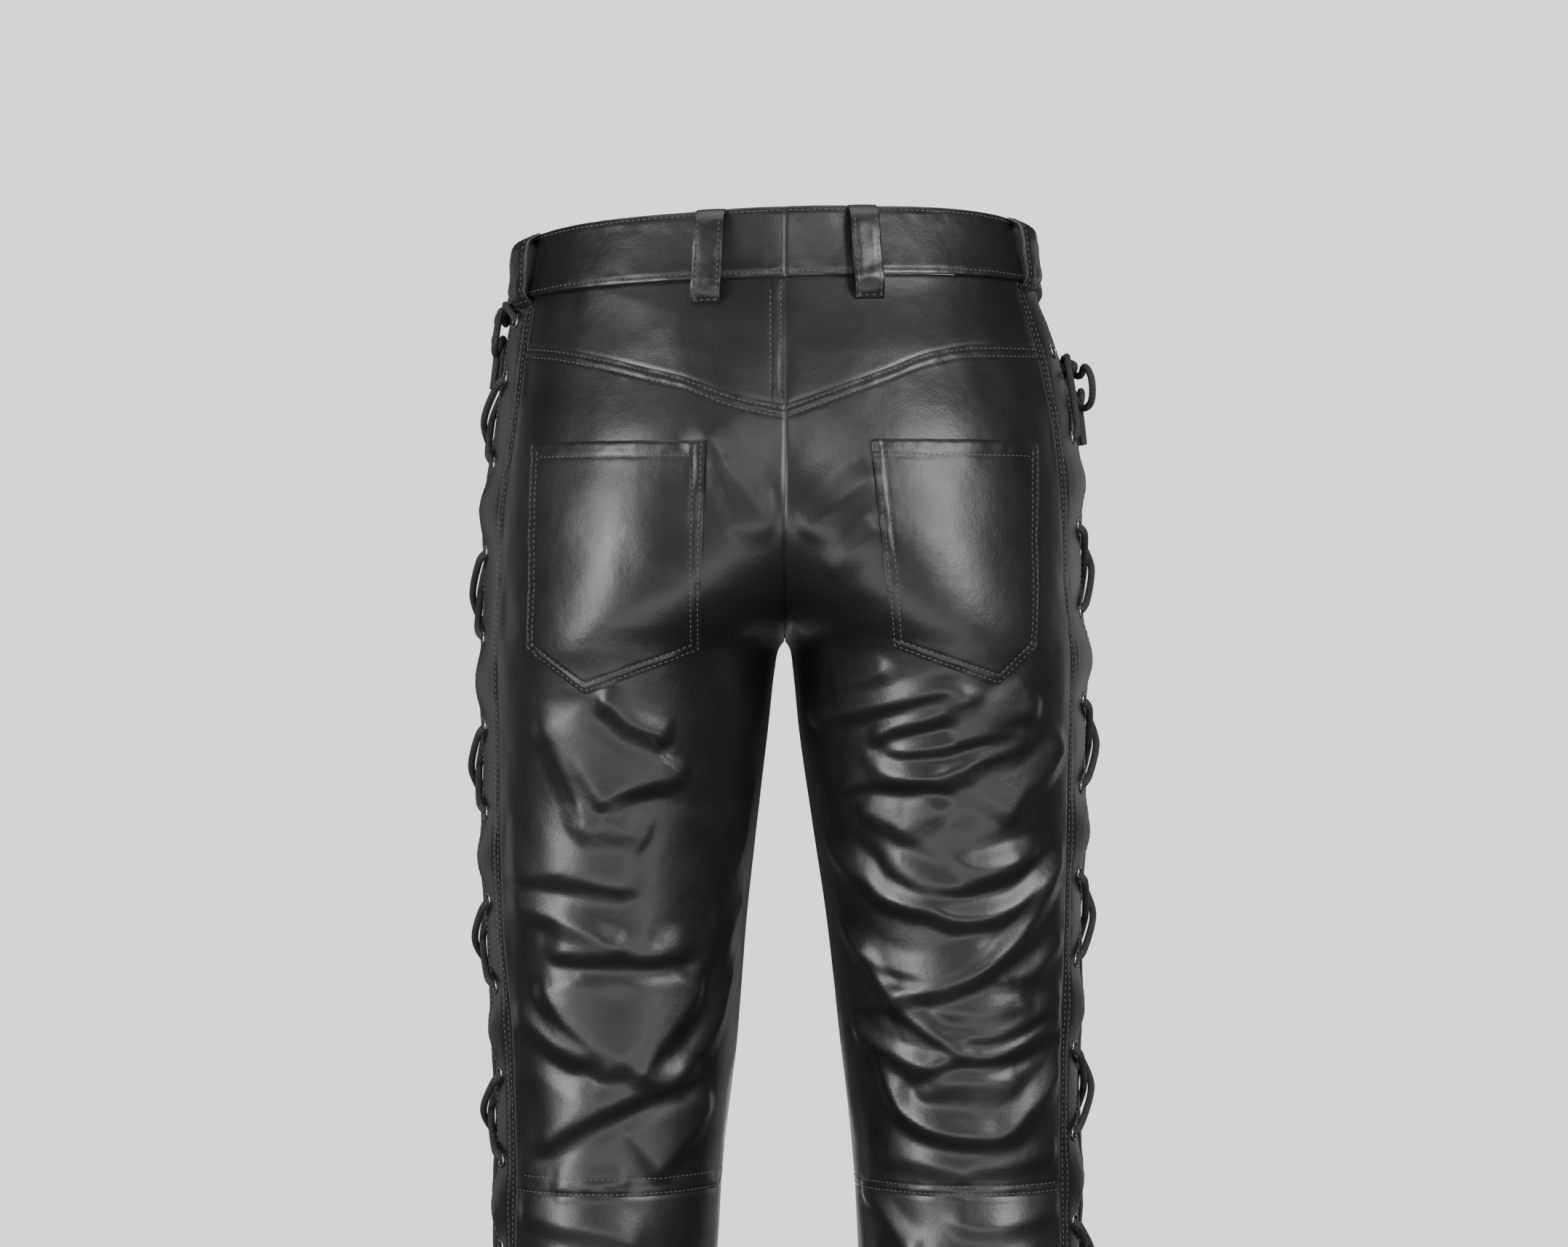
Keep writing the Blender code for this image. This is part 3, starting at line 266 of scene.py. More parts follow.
# The folds of each side and face, each along the crest of a ridge. A route runs from left to right as its
# face is looked at, or with the ridge's long slope on its left hand. The long slope fades out over `above`
# and the steep one over `below`. A negative rise is a trough. Points are distances from the middle and
# heights, in millimetres.
Fold = namedtuple("Fold", "above below rise route")
FOLDS = {
    (LEFT, BACK): [
        # seat
        Fold(15, 17, 2.3, ((54, -126), (37, -150), (22, -174), (9, -202))),
        Fold(9, 10, 1.0, ((44, -148), (34, -172), (26, -198))),
        Fold(16, 18, 1.1, ((128, -44), (100, -52), (72, -60), (50, -69))),
        # thigh
        Fold(11, 11, 3.6, ((114, -289), (104, -294), (93, -305), (80, -311), (66, -318))),
        Fold(11, 10.5, -0.9, ((144, -297), (111, -304), (88, -317), (64, -327))),
        Fold(36, 13, 3.4, ((147, -295), (139, -315), (132, -331), (124, -348), (118, -364), (120, -384))),
        Fold(9, 10, -0.9, ((145, -314), (138, -330), (130, -346), (125, -362))),
        Fold(30, 9.5, 3.7, ((116, -358), (100, -348), (81, -342), (66, -338), (58, -327))),
        Fold(10, 10.5, -0.8, ((104, -352), (76, -351), (47, -356), (29, -358))),
        Fold(14, 10, 1.4, ((110, -361), (94, -371), (80, -379))),
        Fold(9, 9, 1.1, ((17, -338), (22, -359), (25, -380), (32, -402))),
        Fold(10.5, 10.5, 1.3, ((24, -412), (32, -431), (38, -450))),
        Fold(40, 11, 3.1, ((170, -400), (138, -397), (111, -402), (82, -407))),
        Fold(11, 10.5, -1.0, ((170, -402), (146, -408), (123, -407), (100, -411), (82, -415))),
        Fold(11, 11, 2.5, ((168, -406), (158, -416), (146, -420), (123, -429), (102, -439), (90, -445))),
        Fold(9, 9, -0.6, ((150, -430), (128, -437), (108, -443))),
        Fold(10.5, 10.5, -0.7, ((66, -411), (44, -417), (26, -422))),
        Fold(10, 10, -0.7, ((84, -437), (65, -428), (42, -427))),
        # knee hollow
        Fold(20, 10.5, 3.1, ((146, -444), (111, -445), (81, -446), (52, -445))),
        Fold(9, 9, -2.1, ((144, -450), (122, -453), (93, -453.5), (75, -453.5), (46, -450))),
        Fold(7, 7, -0.7, ((102, -449), (88, -443), (72, -437))),
        Fold(34, 14, 4.1, ((94, -527), (80, -506), (68, -490), (57, -474), (48, -457))),
        Fold(9.5, 9.5, -1.6, ((86, -519), (75, -508), (64, -500), (52, -482), (44, -459), (39, -434))),
        Fold(10.5, 9, 2.2,
             ((82, -528), (68, -520), (57, -510), (46, -499), (39, -485), (34, -465), (29, -450))),
        Fold(30, 12, 3.4, ((146, -454), (141, -471), (130, -486), (115, -501), (96, -523))),
        Fold(10, 10, -0.8, ((160, -456), (152, -471), (142, -483), (128, -495), (112, -504))),
        Fold(9, 10.5, 1.7, ((165, -480), (152, -489), (140, -497), (128, -505), (114, -509))),
        Fold(10, 11, -1.7, ((168, -495), (146, -508), (130, -517), (115, -521), (102, -524))),
        Fold(24, 10.5, 4.3, ((154, -572), (139, -557), (122, -546), (105, -537), (73, -524), (48, -519))),
        Fold(10, 10.5, -1.9,
             ((156, -580), (146, -570), (134, -561), (116, -551), (99, -543), (81, -535), (64, -529),
              (47, -524))),
        Fold(10, 10, -0.6, ((160, -524), (152, -541), (145, -557))),
        Fold(34, 11, 4.1, ((84, -583), (75, -574), (64, -561), (53, -547), (46, -527))),
        Fold(12, 9, 1.5, ((142, -588), (111, -585), (90, -580))),
        # lower leg
        Fold(16, 10, 2.2, ((164, -601), (134, -609), (106, -613), (80, -626))),
        Fold(26, 9, 3.2, ((162, -640), (130, -656), (90, -658), (54, -646))),
        Fold(20, 8, 2.4, ((150, -700), (118, -716), (84, -714))),
        Fold(24, 9, 3.0, ((166, -922), (132, -940), (96, -940), (58, -926))),
        Fold(20, 8, 3.2, ((164, -968), (128, -986), (92, -984), (64, -972))),
    ],
    (RIGHT, BACK): [
        # seat
        Fold(13, 14, 1.8, ((8, -198), (26, -181), (42, -168), (60, -158))),
        Fold(10, 12, 1.4, ((22, -220), (42, -203), (60, -187))),
        # thigh
        Fold(9.5, 10.5, 2.2, ((26, -286), (48, -280), (66, -272))),
        Fold(9.5, 9, 3.0, ((12, -304), (36, -300), (59, -295), (83, -289), (102, -287), (122, -289))),
        Fold(7, 7, -0.7, ((24, -309), (50, -306), (71, -301), (88, -295), (112, -289))),
        Fold(7, 9, 2.7, ((50, -321), (56, -313), (71, -307), (90, -301), (101, -295), (122, -289))),
        Fold(9, 11, 3.2,
             ((50, -318), (51, -328), (66, -337), (83, -338), (104, -334), (118, -327), (135, -322),
              (152, -314))),
        Fold(7, 7, -1.0, ((54, -319), (71, -315), (94, -310), (118, -309), (150, -306))),
        Fold(7, 7, 2.2, ((54, -323), (77, -322), (94, -320), (112, -315), (129, -313), (155, -313))),
        Fold(7, 7, -0.7, ((68, -331), (94, -329), (112, -323), (129, -318), (144, -315))),
        Fold(22, 10.5, 3.9, ((94, -310), (118, -307), (141, -301), (154, -290))),
        Fold(7, 7, -0.8, ((94, -303), (111, -294), (129, -281), (148, -268))),
        Fold(24, 9.5, 4.1, ((132, -372), (135, -359), (144, -346), (158, -334), (170, -314))),
        Fold(7, 7, -0.9, ((102, -339), (118, -332), (135, -328), (147, -323), (162, -314))),
        Fold(10.5, 7, 2.1, ((32, -347), (48, -342), (64, -341), (88, -341), (103, -348))),
        Fold(7, 7, -0.9, ((37, -349), (59, -348.5), (77, -346.5), (88, -347), (104, -356))),
        Fold(14, 9, 2.4, ((42, -355), (51, -361), (65, -367), (73, -370), (84, -364), (102, -355))),
        Fold(9, 9, -0.8, ((73, -375), (88, -363), (106, -359), (118, -361), (128, -369))),
        Fold(7, 7, -0.8, ((100, -385), (123, -379.5), (150, -374), (164, -369))),
        Fold(9.5, 9, 1.8, ((98, -387), (108, -391), (118, -393), (135, -390), (155, -378))),
        Fold(7, 7, -0.7, ((66, -380), (83, -388), (94, -394.5), (111, -402))),
        Fold(14, 9, 2.7, ((55, -378), (63, -392), (73, -400), (88, -404.5), (106, -403), (152, -384))),
        Fold(9, 9, -1.7,
             ((34, -370), (51, -387), (62, -397), (76, -407.5), (94, -411.5), (118, -410.5), (135, -408),
              (150, -395), (169, -376))),
        Fold(10.5, 9.5, 3.6,
             ((22, -378), (36, -392.5), (50, -401), (59, -410), (73, -415), (88, -417.5), (100, -423),
              (112, -424), (127, -420.5), (141, -413), (157, -397), (173, -378))),
        Fold(10.5, 10.5, -0.7, ((50, -420), (77, -425), (94, -431), (110, -434), (130, -430))),
        # knee hollow
        Fold(12, 6, 2.4,
             ((39, -434), (54, -449), (65, -455.5), (76, -458), (90, -457), (105, -451), (116, -442),
              (129, -432))),
        Fold(5, 5, -0.8, ((43, -442), (60, -457), (75, -462), (92, -461), (108, -454), (125, -441))),
        Fold(8, 9.5, 4.0,
             ((31, -424), (43, -442), (51, -450), (62, -466), (74, -468.5), (86, -466.5), (99, -462.5),
              (113, -456), (126, -448), (140, -435), (153, -414), (173, -378))),
        Fold(9, 10, -1.0, ((70, -475), (95, -476), (119, -470), (142, -455), (160, -437))),
        Fold(9, 7, 2.1, ((122, -462), (142, -458.5), (151, -455), (159, -447), (172, -435))),
        Fold(11, 11, 3.2, ((60, -464), (67, -475), (76, -486), (88, -494.5), (101, -502.5), (115, -509))),
        Fold(7, 7, -1.8, ((41, -486), (60, -484.5), (74, -489), (88, -499.5), (106, -508))),
        Fold(7, 10.5, 2.9, ((40, -488), (52, -498.5), (65, -505), (76, -510), (88, -513), (105, -509))),
        Fold(10.5, 9, 3.2,
             ((100, -502), (110, -506.5), (124, -507), (139, -501.5), (153, -493.5), (166, -485),
              (176, -472))),
        Fold(5, 5, -0.7, ((100, -498), (124, -500), (142, -493.5), (156, -485.5), (172, -476))),
        Fold(11, 6, 2.5,
             ((97, -493), (113, -494.5), (128, -492.5), (142, -486.5), (154, -480), (174, -470))),
        Fold(8, 8, -0.9, ((86, -486), (104, -488), (122, -487), (146, -480))),
        Fold(12, 8, 1.6, ((84, -478), (102, -480), (122, -481), (150, -474))),
        Fold(7, 7, -1.8,
             ((66, -531), (83, -522.5), (97, -516), (107, -514), (130, -512), (146, -506.5), (160, -497),
              (175, -481))),
        Fold(12, 12, 1.6, ((74, -530), (92, -523), (112, -521), (146, -526))),
        Fold(10.5, 10.5, -0.7, ((68, -530), (90, -535), (116, -538))),
        Fold(12, 10.5, 4.0,
             ((53, -500), (65, -529), (72, -541.5), (83, -549), (97, -553.5), (113, -555.5), (128, -556),
              (138, -549), (146, -540), (156, -530), (165, -514), (174, -492))),
        Fold(9, 10.5, -1.0, ((62, -541), (78, -556), (95, -562), (119, -563), (142, -554))),
        Fold(12, 9, 1.8, ((56, -568), (74, -570), (92, -573), (120, -580))),
        Fold(10, 8, 1.6, ((106, -571), (126, -573), (146, -571), (168, -563))),
        # lower leg
        Fold(10, 9, 2.8, ((46, -590), (58, -600), (66, -612), (84, -634))),
        Fold(14, 9, 2.2, ((92, -604), (122, -610), (150, -606), (176, -596))),
        Fold(26, 9, 3.2, ((60, -630), (94, -646), (132, -646), (166, -626))),
        Fold(18, 8, 2.6, ((78, -690), (112, -704), (150, -692))),
        Fold(24, 9, 3.2, ((62, -938), (98, -954), (136, -952), (170, -932))),
        Fold(20, 8, 3.4, ((70, -986), (104, -1000), (146, -990))),
    ],
    (LEFT, FRONT): [
        # thigh and knee
        Fold(26, 9, 3.0, ((14, -262), (50, -252), (92, -226), (132, -190))),
        Fold(22, 8, 2.6, ((24, -292), (62, -292), (104, -280), (148, -254))),
        Fold(16, 7, 2.0, ((30, -330), (60, -338), (96, -334))),
        Fold(24, 8, 3.4, ((34, -512), (70, -524), (112, -526), (154, -512))),
        Fold(18, 9, 3.6, ((40, -554), (78, -566), (116, -566), (154, -552))),
        Fold(14, 6, 2.2, ((80, -488), (112, -492), (150, -480))),
        # lower leg
        Fold(24, 8, 2.6, ((52, -640), (88, -650), (128, -648))),
        Fold(24, 9, 3.6, ((62, -958), (98, -974), (134, -974), (168, -956))),
        Fold(20, 8, 3.2, ((66, -1000), (100, -1014), (140, -1008))),
    ],
    (RIGHT, FRONT): [
        # thigh and knee
        Fold(26, 9, 3.0, ((128, -200), (90, -232), (48, -256), (14, -268))),
        Fold(22, 8, 2.8, ((150, -262), (106, -290), (64, -304), (26, -302))),
        Fold(14, 7, 2.2, ((146, -322), (112, -340), (80, -344))),
        Fold(24, 8, 3.6, ((158, -500), (116, -516), (74, -512), (38, -497))),
        Fold(18, 9, 3.8, ((158, -542), (120, -558), (80, -558), (44, -544))),
        Fold(14, 6, 2.4, ((140, -470), (104, -484), (66, -480))),
        # lower leg
        Fold(24, 8, 2.6, ((130, -646), (96, -656), (60, -646))),
        Fold(24, 9, 3.6, ((172, -940), (138, -958), (100, -960), (66, -944))),
        Fold(20, 8, 3.4, ((160, -992), (124, -1008), (84, -1000))),
    ],
}
ROUTE_PITCH = 3 * MM
CREST_ROUND = 1.4 * MM
FOOT_SOFT = 0.16
FOLD_END = 0.18
FOLD_REACH = 2.2
END_WIDTH = 0.45
SEAM_HOLD = 0.05

# Gentle waves of the cloth: how wide and how deep, each with a draw of its own.
BROAD_SIZE, BROAD_DEPTH, BROAD_DRAW = 75 * MM, 1.5 * MM, 1
SMALL_SIZE, SMALL_DEPTH, SMALL_DRAW = 22 * MM, 0.35 * MM, 2
PUCKER_SIZE, PUCKER_DEPTH, PUCKER_DRAW, PUCKER_REACH = 7 * MM, 0.45 * MM, 3, 9 * MM
BAND_SIZE, BAND_DEPTH, BAND_DRAW = 30 * MM, 0.8 * MM, 4
STRIP_SIZE, STRIP_DEPTH, STRIP_DRAW = 24 * MM, 0.5 * MM, 5
TONGUE_SIZE, TONGUE_DEPTH, TONGUE_DRAW = 22 * MM, 0.7 * MM, 6

# The hollow where the legs part: how deep, how far it reaches out from the middle, up and down.
HOLLOW_DEPTH, HOLLOW_HEIGHT = 7 * MM, -264 * MM
HOLLOW_ACROSS, HOLLOW_UP, HOLLOW_DOWN = 42 * MM, 42 * MM, 36 * MM

# The cloth over the centre seam of the seat, which spans the dip between its two halves.
SPAN_DEPTH, SPAN_HEIGHT = 5 * MM, -190 * MM
SPAN_ACROSS, SPAN_UP, SPAN_DOWN = 42 * MM, 55 * MM, 40 * MM

# Edges and seams. A sewn edge dips into its seam, and each row of stitches lies in a groove.
EDGE_PITCH = 1.0 * MM
EDGE_CELLS = 10
PANEL_PITCH = 2.15 * MM
ROLL_REACH = 1.1 * MM
GROOVE_DEPTH = 0.35 * MM
GROOVE_HALF = 1.0 * MM
SewnEdge = namedtuple("SewnEdge", "border roll rows")
SHARP_ANGLE = math.radians(60)
WEAR_GAIN = 6

# Rows of stitches that differ between the sides or repeat, as distances inside their edge in millimetres.
KNEE_ROWS = {LEFT: (1.8, 11), RIGHT: (1.8, 6.5)}
CENTRE_ROWS = {LEFT: (2.2, 8.5), RIGHT: ()}
POCKET_ROWS = (2.2, 6.8)

# Rough sizes of the pieces, which set how many points their grids have, and the heights and reaches over
# which a curved top flattens out into level rows. The passes find where a curved top meets the panel.
BACK_WIDTH, BACK_TOP, BACK_BLEND = 245 * MM, -98 * MM, 100 * MM
FRONT_WIDTH, FRONT_TOP, FRONT_BLEND = 190 * MM, -62 * MM, 120 * MM
LOWER_WIDTH, LOWER_BLEND = 160 * MM, 100 * MM
YOKE_WIDTH, YOKE_DEPTH = 165 * MM, 60 * MM
BAND_LENGTH, BAND_DEEP = 430 * MM, 38 * MM
POCKET_WIDTH, POCKET_DEPTH = 104 * MM, 135 * MM
FLY_TOP = -60 * MM
STRIP_PITCH, STRIP_COLUMNS = 4.4 * MM, 19
TONGUE_PITCH, TONGUE_COLUMNS = 6 * MM, 41
SIDE_BLEND = 30 * MM
TOP_PASSES = 8


class LeatherSettings(bpy.types.PropertyGroup):
    """The leather's colour, shine and grain."""

    colour: bpy.props.FloatVectorProperty(
        name="Colour", description="The leather's own colour", subtype="COLOR", size=4,
        default=(0.003, 0.003, 0.003, 1.0), min=0, max=1)
    worn_colour: bpy.props.FloatVectorProperty(
        name="Worn colour", description="Colour where ridges and edges have rubbed", subtype="COLOR", size=4,
        default=(0.01, 0.01, 0.01, 1.0), min=0, max=1)
    roughness: bpy.props.FloatProperty(
        name="Roughness", description="How soft the leather's shine is", default=0.37, min=0, max=1)
    grain_size: bpy.props.FloatProperty(
        name="Grain size", description="Width of one pebble of the grain", unit="LENGTH", default=0.9 * MM)
    grain_depth: bpy.props.FloatProperty(
        name="Grain depth", description="How deep the grain is pressed", unit="LENGTH", default=0.035 * MM)
    crease_size: bpy.props.FloatProperty(
        name="Crease size", description="Width of the finest creases", unit="LENGTH", default=11 * MM)
    crease_depth: bpy.props.FloatProperty(
        name="Crease depth", description="How deep the finest creases are", unit="LENGTH", default=0.3 * MM)


class SewingSettings(bpy.types.PropertyGroup):
    """The topstitching."""

    thread_colour: bpy.props.FloatVectorProperty(
        name="Thread colour", description="Colour of the sewing thread", subtype="COLOR", size=4,
        default=(0.035, 0.035, 0.035, 1.0), min=0, max=1)
    pitch: bpy.props.FloatProperty(
        name="Pitch", description="From one stitch to the next", unit="LENGTH", default=3.6 * MM)
    length: bpy.props.FloatProperty(
        name="Length", description="Length of the thread that shows in a stitch", unit="LENGTH",
        default=2.7 * MM)
    thickness: bpy.props.FloatProperty(
        name="Thickness", description="Thickness of the thread", unit="LENGTH", default=0.75 * MM)


class LacingSettings(bpy.types.PropertyGroup):
    """The laces, their eyelets and the button."""

    lace_colour: bpy.props.FloatVectorProperty(
        name="Lace colour", description="Colour of the laces", subtype="COLOR", size=4,
        default=(0.008, 0.008, 0.008, 1.0), min=0, max=1)
    lace_diameter: bpy.props.FloatProperty(
        name="Lace diameter", description="Thickness of a lace", unit="LENGTH", default=4.3 * MM)
    metal_colour: bpy.props.FloatVectorProperty(
        name="Metal colour", description="Colour of eyelets and button", subtype="COLOR", size=4,
        default=(0.16, 0.16, 0.165, 1.0), min=0, max=1)
    eyelet_radius: bpy.props.FloatProperty(
        name="Eyelet radius", description="From an eyelet's middle to the middle of its rim", unit="LENGTH",
        default=3.75 * MM)
    eyelet_rim: bpy.props.FloatProperty(
        name="Eyelet rim", description="Half the width of an eyelet's rim", unit="LENGTH", default=1.1 * MM)


class StageSettings(bpy.types.PropertyGroup):
    """The camera, lights and floor."""

    backdrop: bpy.props.FloatVectorProperty(
        name="Backdrop", description="Colour behind the trousers", subtype="COLOR", size=3,
        default=(0.651, 0.651, 0.638), min=0, max=1)
    floor: bpy.props.FloatVectorProperty(
        name="Floor", description="Colour of the floor", subtype="COLOR", size=4,
        default=(0.07, 0.07, 0.069, 1.0), min=0, max=1)
    distance: bpy.props.FloatProperty(
        name="Distance", description="From the camera to the trousers", unit="LENGTH", default=3.2)
    height: bpy.props.FloatProperty(
        name="Height", description="Height of the camera, from the waist", unit="LENGTH", default=-0.2475)
    lens: bpy.props.FloatProperty(
        name="Lens", description="Focal length in millimetres", default=119.4, min=1)
    strength: bpy.props.FloatProperty(
        name="Light", description="Strength of all lights together", default=1.0, min=0)


# ---------------------------------------------------------------------------------------------------------
# The garment's surface


def smooth_step(low, high, value):
    share = np.clip((value - low) / (high - low), 0, 1)
    return share * share * (3 - 2 * share)


def smooth_column(rows, key, name, at):
    """One column of a table at the values `at`, as a curve through its rows that never overshoots them."""
    rows = sorted(rows, key=lambda row: getattr(row, key))
    knots = np.array([getattr(row, key) for row in rows]) * MM
    values = np.array([getattr(row, name) for row in rows]) * MM
    steps = np.diff(knots)
    slopes = np.diff(values) / steps
    tangents = np.concatenate([slopes[:1], np.zeros(len(slopes) - 1), slopes[-1:]])
    for i in range(1, len(slopes)):
        before, after = slopes[i - 1], slopes[i]
        if before * after > 0:
            heavy, light = 2 * steps[i] + steps[i - 1], steps[i] + 2 * steps[i - 1]
            tangents[i] = (heavy + light) / (heavy / before + light / after)
    at = np.clip(at, knots[0], knots[-1])
    i = np.clip(np.searchsorted(knots, at) - 1, 0, len(steps) - 1)
    t = (at - knots[i]) / steps[i]
    start = (1 + 2 * t) * (1 - t) ** 2 * values[i] + t * (1 - t) ** 2 * steps[i] * tangents[i]
    end = t * t * (3 - 2 * t) * values[i + 1] - t * t * (1 - t) * steps[i] * tangents[i + 1]
    return start + end


def section(side, z):
    """The leg's oval at each height: its middle and half width across, its seam line and its two depths."""
    name = SIDE_NAMES[side]
    outer = smooth_column(SECTIONS, "z", name + "_out", z)
    inner = smooth_column(SECTIONS, "z", name + "_in", z)
    line = smooth_column(SECTIONS, "z", "side", z)
    back = smooth_column(SECTIONS, "z", "back", z) - line
    front = smooth_column(SECTIONS, "z", "front", z) + line
    return (outer + inner) / 2, (outer - inner) / 2, line, back, front


def skin(side, angle, z):
    """Points of the smooth garment. The angle is 0 on the outer seam line, and positive towards the back."""
    middle, reach, line, back, front = section(side, z)
    depth = np.where(angle >= 0, back, front)
    x = side * (middle + reach * np.cos(angle))
    return np.stack([x, line + depth * np.sin(angle), z + 0 * angle], axis=-1)


def skin_normal(side, angle, z):
    nudge = 1e-4
    round_it = skin(side, angle + nudge, z) - skin(side, angle - nudge, z)
    up_it = skin(side, angle, z + nudge) - skin(side, angle, z - nudge)
    normal = side * np.cross(round_it, up_it)
    return normal / np.linalg.norm(normal, axis=-1, keepdims=True)


def arc_rate(side, angle, z):
    """How fast the surface is passed as the angle grows, in metres a radian."""
    _, reach, _, back, front = section(side, z)
    depth = np.where(angle >= 0, back, front)
    return np.sqrt((reach * np.sin(angle)) ** 2 + (depth * np.cos(angle)) ** 2)


def angle_of_arc(side, face, arc, z):
    """The angle at a distance round the surface from the outer seam line, by walking it in small steps."""
    steps = 12
    angle = np.zeros_like(arc + z)
    for _ in range(steps):
        half_way = angle + face * arc / steps / 2 / arc_rate(side, angle, z)
        angle = angle + face * arc / steps / arc_rate(side, half_way, z)
    return angle


def angle_round(side, arc, z):
    """As angle_of_arc, for distances that are positive towards the back and negative towards the front."""
    back = angle_of_arc(side, BACK, np.abs(arc), z)
    return np.where(arc >= 0, back, angle_of_arc(side, FRONT, np.abs(arc), z))


def angle_of_x(side, face, x, z):
    """The angle where the surface is a distance x from the middle plane."""
    middle, reach, *_ = section(side, z)
    return face * np.arccos(np.clip((x - middle) / reach, -1, 1))


def seam_angle(side, face, z):
    return angle_of_arc(side, face, smooth_column(SEAM_ARCS, "z", "arc", z), z)


def end_angle(side, face, z):
    """The angle of the centre seam above the crotch, and of the inseam below it."""
    middle, reach, *_ = section(side, z)
    return face * np.arccos(np.clip(-middle / reach, -1, 1))


def waist_top(side, angle, x):
    """The top of the waistband: lower at the front, and lower on the left, as the hips lean."""
    return -FRONT_DROP * ((1 - np.sin(angle)) / 2) ** DROP_POWER - WAIST_TILT * side * x


def band_height(angle):
    return BAND_HEIGHT_SIDE + BAND_HEIGHT_EXTRA * np.abs(np.sin(angle))


def band_lift(angle, down):
    """How far the waistband stands out from top (down 0) to foot (down 1). Its top leans in at the sides."""
    return BAND_PROUD + BAND_FLARE * smooth_step(0.1, 0.4, np.abs(np.cos(angle))) * (down - FLARE_PIVOT)


def waist_line(side, angle, below_top):
    """Heights at a distance under the top of the waistband."""
    x = np.abs(skin(side, angle, np.zeros_like(angle))[..., 0])
    return waist_top(side, angle, x) - below_top


def band_foot(side, angle):
    return waist_line(side, angle, band_height(angle))


def yoke_line(side, x):
    return smooth_column(YOKE_SEAM, "x", SIDE_NAMES[side] + "_z", x)


# ---------------------------------------------------------------------------------------------------------
# Folds, seams and edges


def smooth_route(points, pitch):
    """A curve through points, sampled about every `pitch`."""
    points = np.asarray(points, float)
    padded = np.vstack([2 * points[0] - points[1], points, 2 * points[-1] - points[-2]])
    parts = []
    for before, start, end, after in zip(padded, padded[1:], padded[2:], padded[3:]):
        count = max(2, math.ceil(np.linalg.norm(end - start) / pitch))
        t = np.linspace(0, 1, count, endpoint=False)[:, None]
        parts.append(0.5 * (2 * start + (end - before) * t
                            + (2 * before - 5 * start + 4 * end - after) * t ** 2
                            + (3 * start - before - 3 * end + after) * t ** 3))
    return np.vstack([*parts, points[-1:]])


def eased(route, passes):
    """A route with rounder corners: each pass moves its points half way to the middle of their neighbours."""
    for _ in range(passes):
        route = np.vstack([route[:1], (route[:-2] + 2 * route[1:-1] + route[2:]) / 4, route[-1:]])
    return route


def slope(away, width):
    """A ramp that falls from 1 at a crest to 0 at a width, with a round crest and a softened foot."""
    crest = CREST_ROUND / width
    share = np.sqrt((away / width) ** 2 + crest ** 2) - crest
    return (1 - share + np.sqrt((1 - share) ** 2 + FOOT_SOFT ** 2)) / (1 + math.sqrt(1 + FOOT_SOFT ** 2))


def fold_lift(side, face, fold, base, normal):
    """How far one fold lifts each point of the smooth surface."""
    route = smooth_route(np.array(fold.route) * MM, ROUTE_PITCH)
    spine = skin(side, angle_of_x(side, face, route[:, 0], route[:, 1]), route[:, 1])
    reach = FOLD_REACH * max(fold.above, fold.below) * MM
    low, high = spine.min(axis=0) - reach, spine.max(axis=0) + reach
    near = np.all((base > low) & (base < high), axis=-1)
    lift = np.zeros(base.shape[:-1])
    if not near.any():
        return lift
    points, facing = base[near], normal[near]
    steps = np.diff(spine, axis=0)
    length = np.linalg.norm(steps, axis=-1)
    offset = points[:, None] - spine[None, :-1]
    along = np.clip(np.sum(offset * steps, axis=-1) / length ** 2, 0, 1)
    gap = offset - along[..., None] * steps
    distance = np.linalg.norm(gap, axis=-1)
    best = np.argmin(distance, axis=1)
    pick = np.arange(len(points))
    walked = np.concatenate([[0], np.cumsum(length)])
    share = (walked[best] + along[pick, best] * length[best]) / walked[-1]
    held = smooth_step(0, FOLD_END, share) * smooth_step(0, FOLD_END, 1 - share)
    left_hand = np.sum(np.cross(facing, steps[best]) * gap[pick, best], axis=-1)
    narrowed = END_WIDTH + (1 - END_WIDTH) * held
    width = np.where(left_hand > 0, fold.above, fold.below) * MM * narrowed
    lift[near] = fold.rise * MM * held * slope(distance[pick, best], width)
    return lift


def rough(points, size, seed):
    """Smooth noise from -1 to 1 with bumps of about a size, the same at each run."""
    shift = Vector((13.7 * seed, 5.1 * seed, 29.3 * seed))
    flat = points.reshape(-1, 3) / size
    return np.array([noise.noise(Vector(point) + shift) for point in flat]).reshape(points.shape[:-1])


def relief(side, face, angle, z):
    """How far the folds lift the cloth at each point. Seams and edges hold it down."""
    base, normal = skin(side, angle, z), skin_normal(side, angle, z)
    broad = BROAD_DEPTH * rough(base * (1, 1, 1.5), BROAD_SIZE, BROAD_DRAW)
    lift = broad + SMALL_DEPTH * rough(base, SMALL_SIZE, SMALL_DRAW)
    for fold in FOLDS[side, face]:
        lift = lift + fold_lift(side, face, fold, base, normal)
    seam, end = seam_angle(side, face, z), end_angle(side, face, z)
    across = (angle - seam) / (end - seam)
    return lift * smooth_step(0, SEAM_HOLD, across) * smooth_step(0, SEAM_HOLD, 1 - across)


